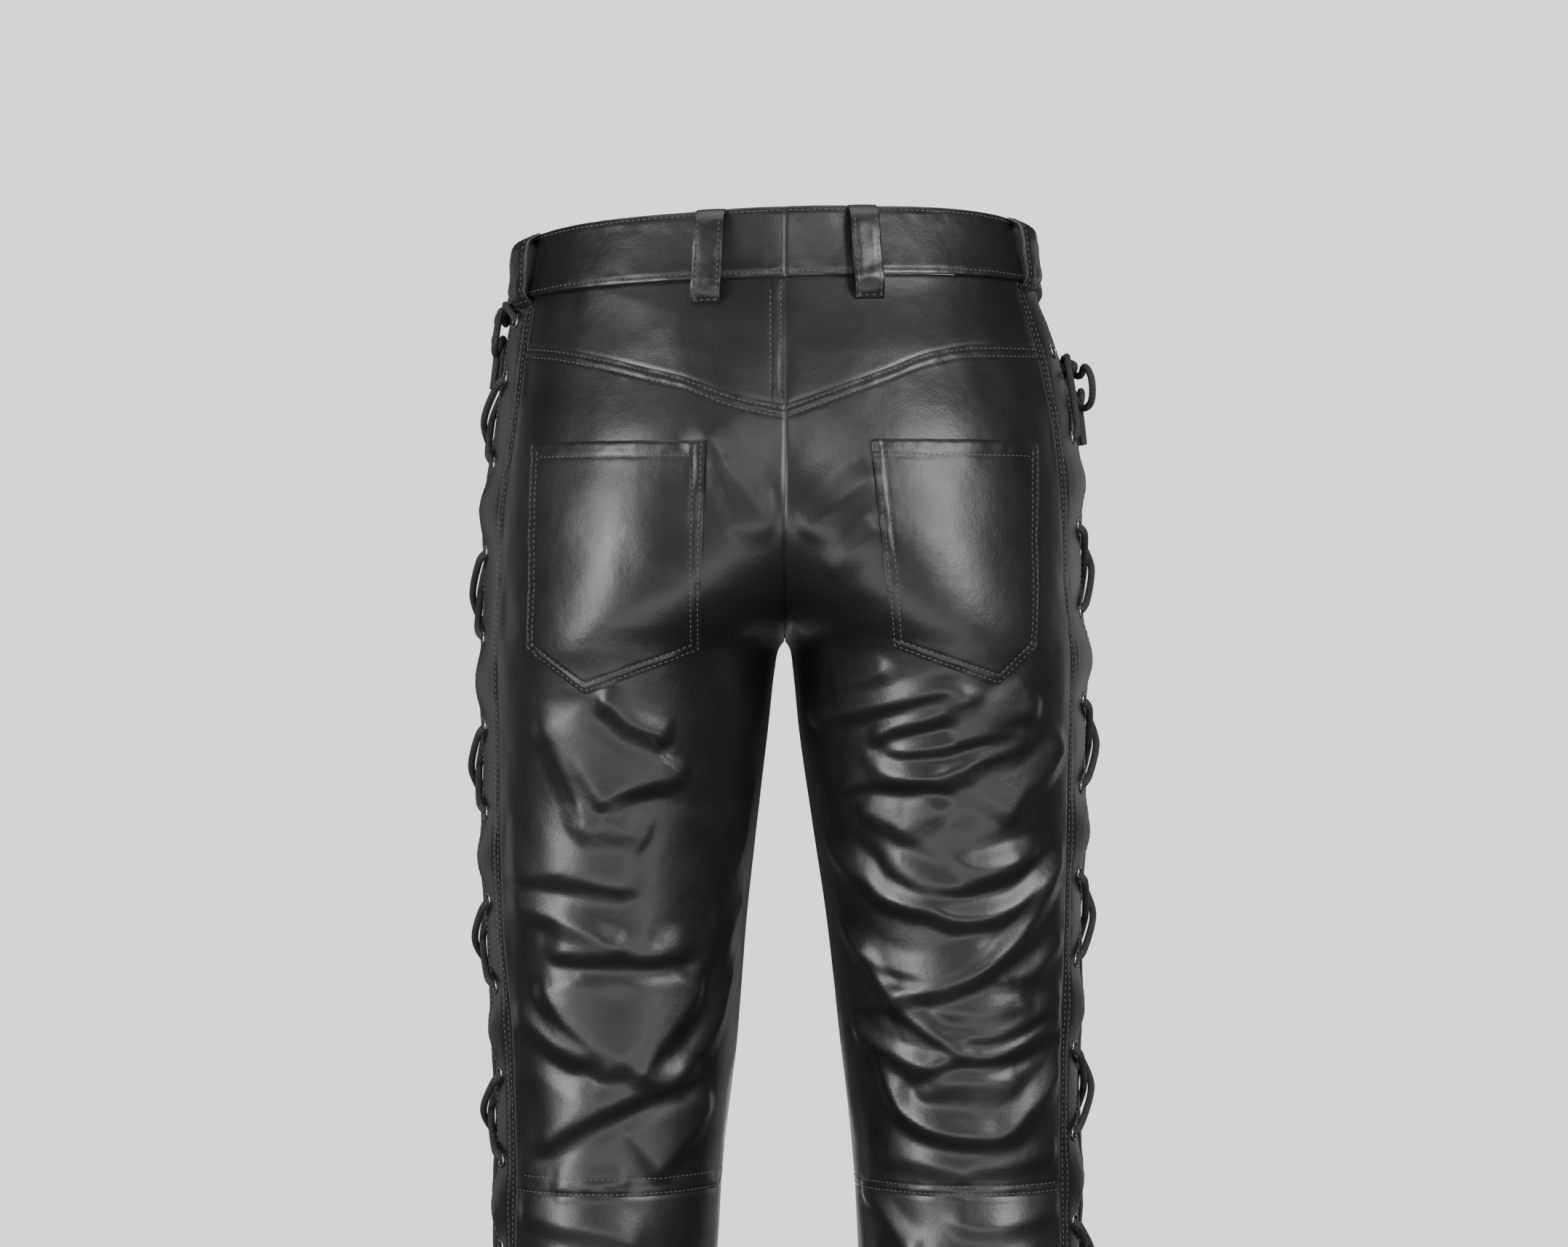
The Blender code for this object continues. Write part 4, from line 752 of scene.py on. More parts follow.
def hollow(points):
    """How far the cloth sinks where the legs part, less how far it stands out over the seat's centre seam."""
    across, above = np.abs(points[..., 0]), points[..., 2] - HOLLOW_HEIGHT
    reach = np.where(above > 0, HOLLOW_UP, HOLLOW_DOWN)
    sunk = HOLLOW_DEPTH * np.exp(-(across / HOLLOW_ACROSS) ** 2 - (above / reach) ** 2)
    above = points[..., 2] - SPAN_HEIGHT
    reach = np.where(above > 0, SPAN_UP, SPAN_DOWN)
    return sunk - SPAN_DEPTH * np.clip(1 - across / SPAN_ACROSS, 0, 1) ** 2 * np.exp(-(above / reach) ** 2)


def cloth_points(side, face, angle, z, lift=0.0):
    """Points of the folded cloth and the smooth surface's normals there."""
    normal = skin_normal(side, angle, z)
    height = relief(side, face, angle, z) + lift
    points = skin(side, angle, z)
    sunk = hollow(points)[..., None] * np.array([0, np.sign(face), 0]) * np.abs(np.sin(angle))[..., None]
    return points + height[..., None] * normal - sunk, normal


def smooth_points(side, angle, z, lift):
    """Points at a height over the smooth surface, with no folds, and the normals there."""
    normal = skin_normal(side, angle, z)
    return skin(side, angle, z) + (lift + 0 * angle)[..., None] * normal, normal


def spaced(length, pitch=PANEL_PITCH, edge_pitch=EDGE_PITCH, edge_cells=EDGE_CELLS):
    """Shares along a length, closer together near both ends. The cells between them are even in number."""
    near = np.arange(edge_cells) * edge_pitch / length
    first = edge_cells * edge_pitch / length
    middle = np.linspace(first, 1 - first, 2 * max(1, round((1 - 2 * first) * length / pitch / 2)) + 1)
    return np.concatenate([near, middle, (1 - near)[::-1]])


def turned_to(points, border):
    """A grid turned so that a border is its first row."""
    across = points.swapaxes(0, 1)
    return {"top": points, "foot": points[::-1], "first": across, "last": across[::-1]}[border]


def turned_back(turned, border):
    """Undoes turned_to."""
    flipped = turned[::-1]
    back = {"top": turned, "foot": flipped, "first": turned.swapaxes(0, 1), "last": flipped.swapaxes(0, 1)}
    return back[border]


def walked_from(points, border):
    """How far each point of a grid lies from one of its borders, along the grid."""
    grid = turned_to(points, border)
    steps = np.linalg.norm(np.diff(grid, axis=0), axis=-1)
    walked = np.vstack([np.zeros((1, grid.shape[1])), np.cumsum(steps, axis=0)])
    return turned_back(walked, border)


def line_inside(points, border, away):
    """The line across a grid at a distance inside one of its borders, trimmed at both ends by as much."""
    grid = turned_to(points, border)
    walked = turned_to(walked_from(points, border), border)
    line = np.array([[np.interp(away, walked[:, c], grid[:, c, axis]) for axis in range(3)]
                     for c in range(grid.shape[1])])
    passed = np.concatenate([[0], np.cumsum(np.linalg.norm(np.diff(line, axis=0), axis=-1))])
    inside = (passed >= away) & (passed <= passed[-1] - away)
    return line[inside]


def sewn(**borders):
    """A piece's sewn edges: by border, how deep it rolls into its seam and then its rows of stitches."""
    return [SewnEdge(border, roll, rows) for border, (roll, *rows) in borders.items()]


def sew(points, normals, edges):
    """Dips a piece's sewn edges into their seams, and its rows of stitches into grooves between puckers."""
    lift = np.zeros(points.shape[:-1])
    pucker = rough(points, PUCKER_SIZE, PUCKER_DRAW)
    for edge in edges:
        away = walked_from(points, edge.border)
        lift -= edge.roll * MM * np.exp(-(away / ROLL_REACH) ** 2)
        for row in edge.rows:
            lift -= GROOVE_DEPTH * np.exp(-((away - row * MM) / GROOVE_HALF) ** 2)
        if edge.rows:
            lift += PUCKER_DEPTH * pucker * np.exp(-(away / PUCKER_REACH) ** 2)
    return points + lift[..., None] * normals


def stitch_lines(points, edges):
    return [line_inside(points, edge.border, row * MM) for edge in edges for row in edge.rows]


# ---------------------------------------------------------------------------------------------------------
# Meshes


def link(name, mesh, *looks):
    for look in looks:
        mesh.materials.append(look)
    piece = bpy.data.objects.new(name, mesh)
    bpy.context.scene.collection.objects.link(piece)
    return piece


def wall(name, points, normals, thickness, look, middle, holes=None):
    """A cloth piece: a grid of points as its outer face, a coarser grid as its inner face, and a rim between.

    middle marks the points that meet the other half's, and holes marks the cells left open. A piece with
    holes has an inner face as fine as its outer one.
    """
    step = 2 if holes is None else 1
    rows, columns = points.shape[:2]
    outer = np.arange(rows * columns).reshape(rows, columns)
    inner_points = (points - thickness * normals)[::step, ::step]
    points[middle, 0] = 0
    inner_points[middle[::step, ::step], 0] = 0
    inner = rows * columns + np.arange(inner_points[..., 0].size).reshape(inner_points.shape[:2])

    def quads(ids, turned):
        cells = np.stack([ids[:-1, :-1], ids[1:, :-1], ids[1:, 1:], ids[:-1, 1:]], axis=-1)
        kept = cells[~holes] if holes is not None else cells.reshape(-1, 4)
        return kept[:, ::-1] if turned else kept

    faces = quads(outer, False).tolist() + quads(inner, True).tolist()
    if holes is None:
        for ring in ((outer[0], inner[0], True), (outer[-1], inner[-1], False),
                     (outer[:, 0], inner[:, 0], False), (outer[:, -1], inner[:, -1], True)):
            fine, coarse, turned = ring
            for k in range(len(coarse) - 1):
                a, b, c = fine[2 * k], fine[2 * k + 1], fine[2 * k + 2]
                pair = [(a, b, coarse[k]), (b, c, coarse[k + 1], coarse[k])]
                faces += [tuple(int(i) for i in (face[::-1] if turned else face)) for face in pair]
    else:
        edges = {(a, b) for face in quads(outer, False).tolist() for a, b in zip(face, face[1:] + face[:1])}
        below = rows * columns
        faces += [(b, a, a + below, b + below) for a, b in sorted(edges) if (b, a) not in edges]
    mesh = bpy.data.meshes.new(name)
    mesh.from_pydata(np.vstack([points.reshape(-1, 3), inner_points.reshape(-1, 3)]).tolist(), [], faces)
    shell = bmesh.new()
    shell.from_mesh(mesh)
    loose = [v for v in shell.verts if not v.link_faces]
    bmesh.ops.delete(shell, geom=loose, context="VERTS")
    bmesh.ops.recalc_face_normals(shell, faces=shell.faces)
    shell.to_mesh(mesh)
    shell.free()
    mesh.shade_smooth()
    mesh.set_sharp_from_angle(angle=SHARP_ANGLE)
    return link(name, mesh, look)


def mark_wear(piece):
    """Marks how far each point stands out from its neighbours, for the material's rubbed places."""
    mesh = piece.data
    shell = bmesh.new()
    shell.from_mesh(mesh)
    worn = []
    for vertex in shell.verts:
        around = [edge.other_vert(vertex) for edge in vertex.link_edges]
        reach = sum((other.co - vertex.co).length for other in around) / len(around)
        out = -sum(((other.co - vertex.co).dot(vertex.normal) for other in around)) / len(around)
        worn.append(max(0.0, min(1.0, WEAR_GAIN * out / reach)))
    shell.free()
    attribute = mesh.attributes.new("worn", "FLOAT", "POINT")
    attribute.data.foreach_set("value", worn)


SEWN_LINES = []


def leather_piece(node, points, normals, thickness, edges, look, holes=None,
                  middle=None):
    """A finished leather piece that stands for a solid, with its rows of stitches noted for the thread."""
    if middle is None:
        middle = np.abs(points[..., 0]) < 0.01 * MM
    points = sew(points, normals, edges)
    piece = wall(node + "_leather", points, normals, thickness, look, middle, holes)
    mark_wear(piece)
    SEWN_LINES.extend(stitch_lines(points, edges))
    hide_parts(node)
    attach(piece, BODY)


def tube(name, route, radius, sides, look):
    """A round cord along a route, with UVs that run along and round it."""
    tangents = np.gradient(route, axis=0)
    tangents /= np.linalg.norm(tangents, axis=1, keepdims=True)
    across = np.zeros_like(route)
    side = np.cross(tangents[0], (0.3, 0.2, 1.0))
    for i, tangent in enumerate(tangents):
        side = side - side.dot(tangent) * tangent
        side = side / np.linalg.norm(side)
        across[i] = side
    up = np.cross(tangents, across)
    turn = 2 * math.pi * np.arange(sides) / sides
    ring = across[:, None] * np.cos(turn)[:, None] + up[:, None] * np.sin(turn)[:, None]
    points = route[:, None] + radius * ring
    count = len(route)
    ids = np.arange(count * sides).reshape(count, sides)
    after = np.roll(ids, -1, axis=1)
    faces = np.stack([ids[:-1], after[:-1], after[1:], ids[1:]], axis=-1).reshape(-1, 4).tolist()
    faces += [ids[0][::-1].tolist(), ids[-1].tolist()]
    mesh = bpy.data.meshes.new(name)
    mesh.from_pydata(points.reshape(-1, 3).tolist(), [], faces)
    mesh.shade_smooth()
    walked = np.concatenate([[0], np.cumsum(np.linalg.norm(np.diff(route, axis=0), axis=1))])
    layer = mesh.uv_layers.new(name="UVMap")
    for polygon in mesh.polygons:
        for loop in polygon.loop_indices:
            vertex = mesh.loops[loop].vertex_index
            ring_index, k = divmod(vertex, sides)
            if k == 0 and any(mesh.loops[other].vertex_index % sides == sides - 1
                              for other in polygon.loop_indices):
                k = sides
            layer.data[loop].uv = (walked[ring_index], k / sides)
    return link(name, mesh, look)


def baked(name, source):
    """The evaluated mesh of an object with modifiers, as a plain mesh object."""
    evaluated = source.evaluated_get(bpy.context.evaluated_depsgraph_get())
    mesh = bpy.data.meshes.new_from_object(evaluated)
    mesh.name = name
    bpy.data.objects.remove(source)
    return link(name, mesh)


# ---------------------------------------------------------------------------------------------------------
# Materials


class Value:
    """A number in a shader. Python's operators on it add Math nodes."""

    def __init__(self, shader, socket):
        self.shader, self.socket = shader, socket

    def __add__(self, other):
        return self.shader.maths("ADD", self, other)

    def __sub__(self, other):
        return self.shader.maths("SUBTRACT", self, other)

    def __rsub__(self, other):
        return self.shader.maths("SUBTRACT", other, self)

    def __mul__(self, other):
        return self.shader.maths("MULTIPLY", self, other)

    def __truediv__(self, other):
        return self.shader.maths("DIVIDE", self, other)

    def __rtruediv__(self, other):
        return self.shader.maths("DIVIDE", other, self)

    def __pow__(self, other):
        return self.shader.maths("POWER", self, other)

    __radd__ = __add__
    __rmul__ = __mul__


class Shader:
    """A material's node tree."""

    def __init__(self, name):
        self.material = bpy.data.materials.new(name)
        self.material.use_nodes = True
        self.tree = self.material.node_tree
        self.principled = self.tree.nodes["Principled BSDF"]

    def put(self, socket, value):
        value = value.socket if isinstance(value, Value) else value
        if isinstance(value, bpy.types.NodeSocket):
            self.tree.links.new(value, socket)
        else:
            socket.default_value = value

    def node(self, kind, settings=None, inputs=None):
        """Adds a node: its settings first, then the values or links of its sockets."""
        made = self.tree.nodes.new(kind)
        for name, value in (settings or {}).items():
            setattr(made, name, value)
        for name, value in (inputs or {}).items():
            self.put(made.inputs[name], value)
        return made

    def maths(self, operation, first, second):
        made = self.node("ShaderNodeMath", {"operation": operation}, {0: first, 1: second})
        return Value(self, made.outputs[0])

    def place(self):
        return self.node("ShaderNodeTexCoord").outputs["Object"]

    def noise(self, place, size, detail=2.0, roughness=0.5):
        made = self.node("ShaderNodeTexNoise", None, {
            "Vector": place, "Scale": 1 / size, "Detail": detail, "Roughness": roughness})
        return Value(self, made.outputs["Fac"])

    def mix(self, share, first, second):
        made = self.node("ShaderNodeMix", {"data_type": "RGBA"}, {0: share, 6: first, 7: second})
        return made.outputs[2]

    def bump(self, height, distance, normal=None):
        inputs = {"Height": height, "Distance": distance}
        if normal is not None:
            inputs["Normal"] = normal
        return self.node("ShaderNodeBump", None, inputs).outputs["Normal"]

    def finish(self, **values):
        for name, value in values.items():
            self.put(self.principled.inputs[name.replace("_", " ")], value)
        return self.material


def leather_material(name, settings, rougher=0.0):
    """Black faux leather: fine pebbled grain, soft creases, patchy shine and rubbed ridges."""
    shader = Shader(name)
    place = shader.place()
    worn = Value(shader, shader.node("ShaderNodeAttribute", {"attribute_name": "worn"}).outputs["Fac"])
    patches = shader.noise(place, 45 * MM, 3.0)
    creases = shader.noise(place, settings.crease_size, 4.0, 0.55)
    pebbles = Value(shader, shader.node("ShaderNodeTexVoronoi", {"feature": "SMOOTH_F1"}, {
        "Vector": place, "Scale": 1 / settings.grain_size, "Smoothness": 0.6}).outputs["Distance"])
    pores = shader.noise(place, 0.4 * settings.grain_size, 1.0)
    rubbed = worn * 0.7 + (patches - 0.45) * 0.35
    colour = shader.mix(rubbed, settings.colour, settings.worn_colour)
    normal = shader.bump(creases, settings.crease_depth)
    normal = shader.bump(pores * 0.3 - pebbles, settings.grain_depth, normal)
    return shader.finish(
        Base_Color=colour, Roughness=settings.roughness + rougher + (patches - 0.5) * 0.24 - worn * 0.05,
        Normal=normal, Coat_Weight=0.08, Coat_Roughness=0.25, IOR=1.5)


def thread_material(settings):
    """Waxed sewing thread, twisted."""
    shader = Shader("thread")
    twist = shader.noise(shader.place(), 0.3 * MM, 1.0)
    return shader.finish(Base_Color=shader.mix(twist, settings.thread_colour, (0.09, 0.09, 0.09, 1.0)),
                         Roughness=0.45 + twist * 0.2, Normal=shader.bump(twist, 0.1 * MM))


def lace_material(settings):
    """A round braided lace: two families of strands wound against each other, over a soft core."""
    shader = Shader("lace")
    uv = shader.node("ShaderNodeTexCoord").outputs["UV"]
    parts = shader.node("ShaderNodeSeparateXYZ", None, {0: uv})
    along, round_it = Value(shader, parts.outputs["X"]), Value(shader, parts.outputs["Y"])
    strands, pitch = 8, 5 * MM
    one = shader.maths("SINE", (along / pitch + round_it * strands) * (2 * math.pi), 0.0)
    other = shader.maths("SINE", (along / pitch - round_it * strands) * (2 * math.pi), 0.0)
    braid = one * other
    fuzz = shader.noise(shader.place(), 0.5 * MM, 2.0)
    return shader.finish(
        Base_Color=shader.mix(braid * 0.3 + 0.3 + fuzz * 0.3, settings.lace_colour, (0.03, 0.03, 0.03, 1.0)),
        Roughness=0.55 + fuzz * 0.2, Normal=shader.bump(braid + fuzz, 0.22 * MM))


def metal_material(settings):
    """Blackened metal, rubbed bright in places."""
    shader = Shader("dark metal")
    rubbed = shader.noise(shader.place(), 1.5 * MM, 3.0)
    return shader.finish(Base_Color=shader.mix(rubbed, settings.metal_colour, (0.34, 0.34, 0.34, 1.0)),
                         Roughness=0.22 + rubbed * 0.22, Metallic=1.0)


LOOKS = {}


def look(name):
    """A finished material by name, made once from the settings."""
    if name in LOOKS:
        return LOOKS[name]
    scene = bpy.context.scene
    makers = {
        "leather": lambda: leather_material("leather", scene.trousers_leather),
        "tongue leather": lambda: leather_material("tongue leather", scene.trousers_leather, 0.06),
        "thread": lambda: thread_material(scene.trousers_sewing),
        "lace": lambda: lace_material(scene.trousers_lacing),
        "dark metal": lambda: metal_material(scene.trousers_lacing),
    }
    LOOKS[name] = makers[name]()
    return LOOKS[name]


# ---------------------------------------------------------------------------------------------------------
# Leather pieces


def panel_angles(side, face, share, z):
    seam, end = seam_angle(side, face, z), end_angle(side, face, z)
    return seam + share * (end - seam)


def fading(levels, blend):
    """How much of its top's curve each row keeps: all of it in the top row, none from `blend` below it."""
    return np.clip(1 - (levels[0] - levels) / blend, 0, 1)[:, None]


def panel_grid(side, face, share, top, levels, blend):
    """Angles and heights of a panel whose top row follows the function top and whose others flatten out."""
    z = np.full(len(share), levels[0])
    for _ in range(TOP_PASSES):
        angle = panel_angles(side, face, share, z)
        z = top(angle, z)
    heights = levels[:, None] + fading(levels, blend) * (z - levels[0])[None, :]
    return panel_angles(side, face, share[None, :] + 0 * heights, heights), heights


def make_panel(name, side, face, width, top, top_level, foot_level, blend, edges):
    share = spaced(width)
    levels = top_level + spaced(top_level - foot_level) * (foot_level - top_level)
    angle, z = panel_grid(side, face, share, top, levels, blend)
    points, normals = cloth_points(side, face, angle, z)
    leather_piece(name, points, normals, CLOTH, edges, look("leather"))


class TROUSERS_OT_upper_panels(bpy.types.Operator):
    """Makes the fronts and backs from the yoke or waistband down to the knee seam"""

    bl_idname = "trousers.upper_panels"
    bl_label = "Upper Panels"

    def execute(self, context):
        for side in (LEFT, RIGHT):
            def back_top(angle, z, side=side):
                return yoke_line(side, np.abs(skin(side, angle, z)[..., 0]))

            def front_top(angle, z, side=side):
                return band_foot(side, angle)

            name = SIDE_NAMES[side]
            back_edges = sewn(first=(0.45,), last=(0.45,), top=(0.3, 2.4, 7.4), foot=(0.45, *KNEE_ROWS[side]))
            front_edges = sewn(first=(0.45,), last=(0.45,), top=(0.45,), foot=(0.45, *KNEE_ROWS[side]))
            make_panel("back_upper_" + name, side, BACK, BACK_WIDTH, back_top, BACK_TOP, KNEE, BACK_BLEND,
                       back_edges)
            make_panel("front_upper_" + name, side, FRONT, FRONT_WIDTH, front_top, FRONT_TOP, KNEE,
                       FRONT_BLEND, front_edges)
        return {"FINISHED"}


class TROUSERS_OT_lower_panels(bpy.types.Operator):
    """Makes the fronts and backs under the knee seam"""

    bl_idname = "trousers.lower_panels"
    bl_label = "Lower Panels"

    def execute(self, context):
        edges = sewn(first=(0.45,), last=(0.45,), top=(0.45,), foot=(0.6, 2.0, 18))
        for side, face in product((LEFT, RIGHT), (BACK, FRONT)):
            name = FACE_NAMES[face] + "_lower_" + SIDE_NAMES[side]
            make_panel(name, side, face, LOWER_WIDTH, lambda angle, z: z, KNEE, HEM, LOWER_BLEND, edges)
        return {"FINISHED"}


class TROUSERS_OT_yokes(bpy.types.Operator):
    """Makes the pointed yoke under the waistband at the back"""

    bl_idname = "trousers.yokes"
    bl_label = "Yokes"

    def execute(self, context):
        share = spaced(YOKE_WIDTH)
        down = spaced(YOKE_DEPTH, pitch=2.5 * MM)[:, None]
        for side in (LEFT, RIGHT):
            low = np.full(len(share), YOKE_SEAM[3].left_z * MM)
            high = np.full(len(share), -BAND_HEIGHT_SIDE)
            for _ in range(TOP_PASSES):
                angle = panel_angles(side, BACK, share, low)
                low = yoke_line(side, np.abs(skin(side, angle, low)[..., 0]))
                high = band_foot(side, panel_angles(side, BACK, share, high))
            z = high + down * (low - high)
            angle = panel_angles(side, BACK, share + 0 * z, z)
            points, normals = cloth_points(side, BACK, angle, z)
            edges = sewn(first=(0.45,), last=(0.45, *CENTRE_ROWS[side]), top=(0.45,), foot=(0.3,))
            leather_piece("yoke_" + SIDE_NAMES[side], points, normals, CLOTH, edges, look("leather"))
        return {"FINISHED"}


class TROUSERS_OT_waistband(bpy.types.Operator):
    """Makes the two halves of the waistband, joined at the centre back and lapped left over right"""

    bl_idname = "trousers.waistband"
    bl_label = "Waistband"

    def execute(self, context):
        for side in (LEFT, RIGHT):
            share = spaced(BAND_LENGTH, pitch=2.6 * MM)
            angle = (1 - 2 * share) * math.pi / 2
            down = spaced(BAND_DEEP, pitch=1.8 * MM, edge_pitch=0.9 * MM, edge_cells=6)[:, None]
            z = waist_line(side, angle, down * band_height(angle))
            first, last = end_angle(side, BACK, z), end_angle(side, FRONT, z)
            lift = band_lift(angle, down)
            if side == LEFT:
                lift = lift + LAP_LIFT * smooth_step(0.80, 0.97, share)
            points, normals = smooth_points(side, first + share * (last - first), z, lift)
            if side == LEFT:
                waist_z = np.array(WAIST_LEVEL)
                rate = arc_rate(RIGHT, -math.pi / 2, waist_z)
                past = np.linspace(0, 1, LAP_COLUMNS)[1:] * LAP_LENGTH / rate
                over = end_angle(RIGHT, FRONT, waist_z) + past
                lap_z = waist_line(RIGHT, over, down * band_height(over))
                lap_lift = band_lift(over, down) + LAP_LIFT
                lap, lap_normals = smooth_points(RIGHT, over + 0 * lap_z, lap_z, lap_lift)
                points, normals = np.hstack([points, lap]), np.hstack([normals, lap_normals])
            away = walked_from(points, "top")
            waves = BAND_DEPTH * rough(points * (1, 1, 0.6), BAND_SIZE, BAND_DRAW)
            points = points + (waves * np.sin(math.pi * away / away[-1:]))[..., None] * normals
            lap_row = (3.0,) if side == LEFT else ()
            edges = sewn(top=(1.0, 2.6), foot=(0.7, 2.6), first=(0.5,), last=(0.45, *lap_row))
            middle = np.zeros(points.shape[:2], bool)
            middle[:, 0] = True
            middle[:, -1] = side == RIGHT
            leather_piece("waistband_" + SIDE_NAMES[side], points, normals, BAND_CLOTH, edges,
                          look("leather"),
                          middle=middle)
        return {"FINISHED"}


def eyelet_rows(side, face):
    lacing = LACINGS[side]
    top = lacing.top_back if face == BACK else lacing.top_front
    return [top] + [lacing.second_row - i * EYELET_PITCH for i in range(lacing.count - 1)]


def crosses(side, row):
    lacing = LACINGS[side]
    return lacing.first_cross <= row < lacing.count - 1 and (row - lacing.first_cross) % 2 == 0


def between_rows(rows, z):
    """The row above each height, and how far down it lies from that row to the next, from 0 to 1."""
    above = np.clip(np.searchsorted(-np.array(rows), -z) - 1, 0, len(rows) - 2)
    tops = np.array(rows)[above]
    return above, np.clip((tops - z) / (tops - np.array(rows)[above + 1]), 0, 1)


def strip_lift(side, z, arc, bulge):
    """How far a strip's outer face stands off the smooth surface: none at its seam, most at its free edge."""
    seam = smooth_column(SEAM_ARCS, "z", "arc", z)
    return (STRIP_LIFT + bulge * STRIP_BULGE) * np.clip((seam - arc) / (seam - STRIP_EDGE), 0, 1)


class TROUSERS_OT_eyelet_strips(bpy.types.Operator):
    """Makes the strips along the side gaps, which stand off where the lace runs inside"""

    bl_idname = "trousers.eyelet_strips"
    bl_label = "Eyelet Strips"

    def execute(self, context):
        for side, face in product((LEFT, RIGHT), (BACK, FRONT)):
            rows = eyelet_rows(side, face)
            name = "eyelet_strip_" + FACE_NAMES[face] + "_" + SIDE_NAMES[side]
            top = float(band_foot(side, seam_angle(side, face, np.array(rows[0]))))
            levels = np.linspace(top, HEM, 2 * round((top - HEM) / STRIP_PITCH) + 1)
            z = levels[:, None]
            seam = smooth_column(SEAM_ARCS, "z", "arc", z)
            arc = STRIP_EDGE + np.linspace(0, 1, STRIP_COLUMNS)[None, :] * (seam - STRIP_EDGE)
            heights = z + 0 * arc
            heights[0] = band_foot(side, angle_of_arc(side, face, arc[0], heights[1]))
            below = (np.arange(len(levels)) > 0)[:, None]
            heights = heights + fading(levels, SIDE_BLEND) * (heights[0] - levels[0]) * below
            above, down = between_rows(rows, levels)
            open_row = np.array([0 < i < len(rows) - 1 and not crosses(side, i) for i in range(len(rows))])
            bulge = (np.sin(math.pi * down) ** 2 * open_row[above])[:, None]
            angle = angle_of_arc(side, face, arc, heights)
            points, normals = smooth_points(side, angle, heights, strip_lift(side, heights, arc, bulge))
            waves = STRIP_DEPTH * rough(points, STRIP_SIZE, STRIP_DRAW)
            points = points + (waves * np.linspace(1, 0, STRIP_COLUMNS)[None, :])[..., None] * normals
            cell_arc = (arc[:-1, :-1] + arc[1:, 1:]) / 2
            cell_z = (heights[:-1, :-1] + heights[1:, 1:]) / 2
            holes = np.zeros(cell_z.shape, bool)
            for row in rows:
                holes |= np.hypot(cell_arc - EYELET_ARC, cell_z - row) < HOLE_RADIUS - HOLE_MARGIN
            edges = sewn(first=(0.6, 2.6), last=(0.45, 2.2, 7.0), foot=(0.5,))
            leather_piece(name, points, normals, CLOTH, edges, look("leather"),
                          holes=holes)
        return {"FINISHED"}


class TROUSERS_OT_tongues(bpy.types.Operator):
    """Makes the long pieces behind the lacing, pressed in by the crossings and puffed out between them"""

    bl_idname = "trousers.tongues"
    bl_label = "Tongues"

    def execute(self, context):
        for side in (LEFT, RIGHT):
            rows = eyelet_rows(side, BACK)
            knots = [(0.0, TONGUE_MIDDLE), (rows[0] - 3 * MM, TONGUE_MIDDLE)]
            for i in range(len(rows) - 1):
                puff = 0 if i == 0 or crosses(side, i) else TONGUE_BULGE
                knots.append(((rows[i] + rows[i + 1]) / 2, TONGUE_MIDDLE + puff))
            knots += [(rows[-1] + 3 * MM, TONGUE_UNDER), (rows[-1] - 12 * MM, TONGUE_UNDER)]
            knots.append((HEM, TONGUE_MIDDLE))
            top = float(band_foot(side, np.array(0.0))) - TONGUE_TOP_GAP
            levels = np.linspace(top, HEM, 2 * round((top - HEM) / TONGUE_PITCH) + 1)
            middle = np.interp(-levels, [-z for z, _ in knots], [lift for _, lift in knots])[:, None]
            edge = smooth_column(SEAM_ARCS, "z", "arc", levels)[:, None] - TONGUE_INSET
            arc = np.linspace(1, -1, TONGUE_COLUMNS)[None, :] * edge
            low = smooth_step(TONGUE_FLAT_ARC, TONGUE_UNDER_ARC, np.abs(arc))
            lift = middle + low * (TONGUE_UNDER - middle)
            heights = levels[:, None] + 0 * arc
            angle = angle_round(side, arc, heights)
            raised = band_foot(side, angle[0]) - TONGUE_TOP_GAP - levels[0]
            heights = heights + fading(levels, SIDE_BLEND) * raised
            points, normals = smooth_points(side, angle_round(side, arc, heights), heights, lift)
            wrinkles = TONGUE_DEPTH * rough(points * (1, 1, 2.2), TONGUE_SIZE, TONGUE_DRAW) * (1 - low)
            points = points + wrinkles[..., None] * normals
            leather_piece("tongue_" + SIDE_NAMES[side], points, normals, TONGUE_CLOTH, [],
                          look("tongue leather"))
        return {"FINISHED"}


class TROUSERS_OT_pockets(bpy.types.Operator):
    """Makes the pointed patch pockets on the backs"""

    bl_idname = "trousers.pockets"
    bl_label = "Back Pockets"

    def execute(self, context):
        for side in (LEFT, RIGHT):
            cut = POCKETS[side]
            columns, levels = spaced(POCKET_WIDTH, pitch=2 * MM), spaced(POCKET_DEPTH, pitch=2.2 * MM)
            across, down = np.meshgrid(columns, levels)
            point = (cut.point - cut.inner_low) / (cut.outer_low - cut.inner_low)
            sag = np.where(across < point, across / point, (1 - across) / (1 - point))
            foot = cut.low + (cut.point_z - cut.low) * sag
            z = (cut.top + down * (foot - cut.top)) * MM
            inner = cut.inner_top + down * (cut.inner_low - cut.inner_top)
            outer = cut.outer_top + down * (cut.outer_low - cut.outer_top)
            first = angle_of_x(side, BACK, inner * MM, z)
            last = angle_of_x(side, BACK, outer * MM, z)
            points, normals = cloth_points(side, BACK, first + across * (last - first), z, LAID_ON + CLOTH)
            side_edge = (0.6, *POCKET_ROWS)
            edges = sewn(first=side_edge, last=side_edge, foot=side_edge, top=(0.7, 9.5))
            leather_piece("back_pocket_" + SIDE_NAMES[side], points, normals, CLOTH, edges, look("leather"))
        return {"FINISHED"}


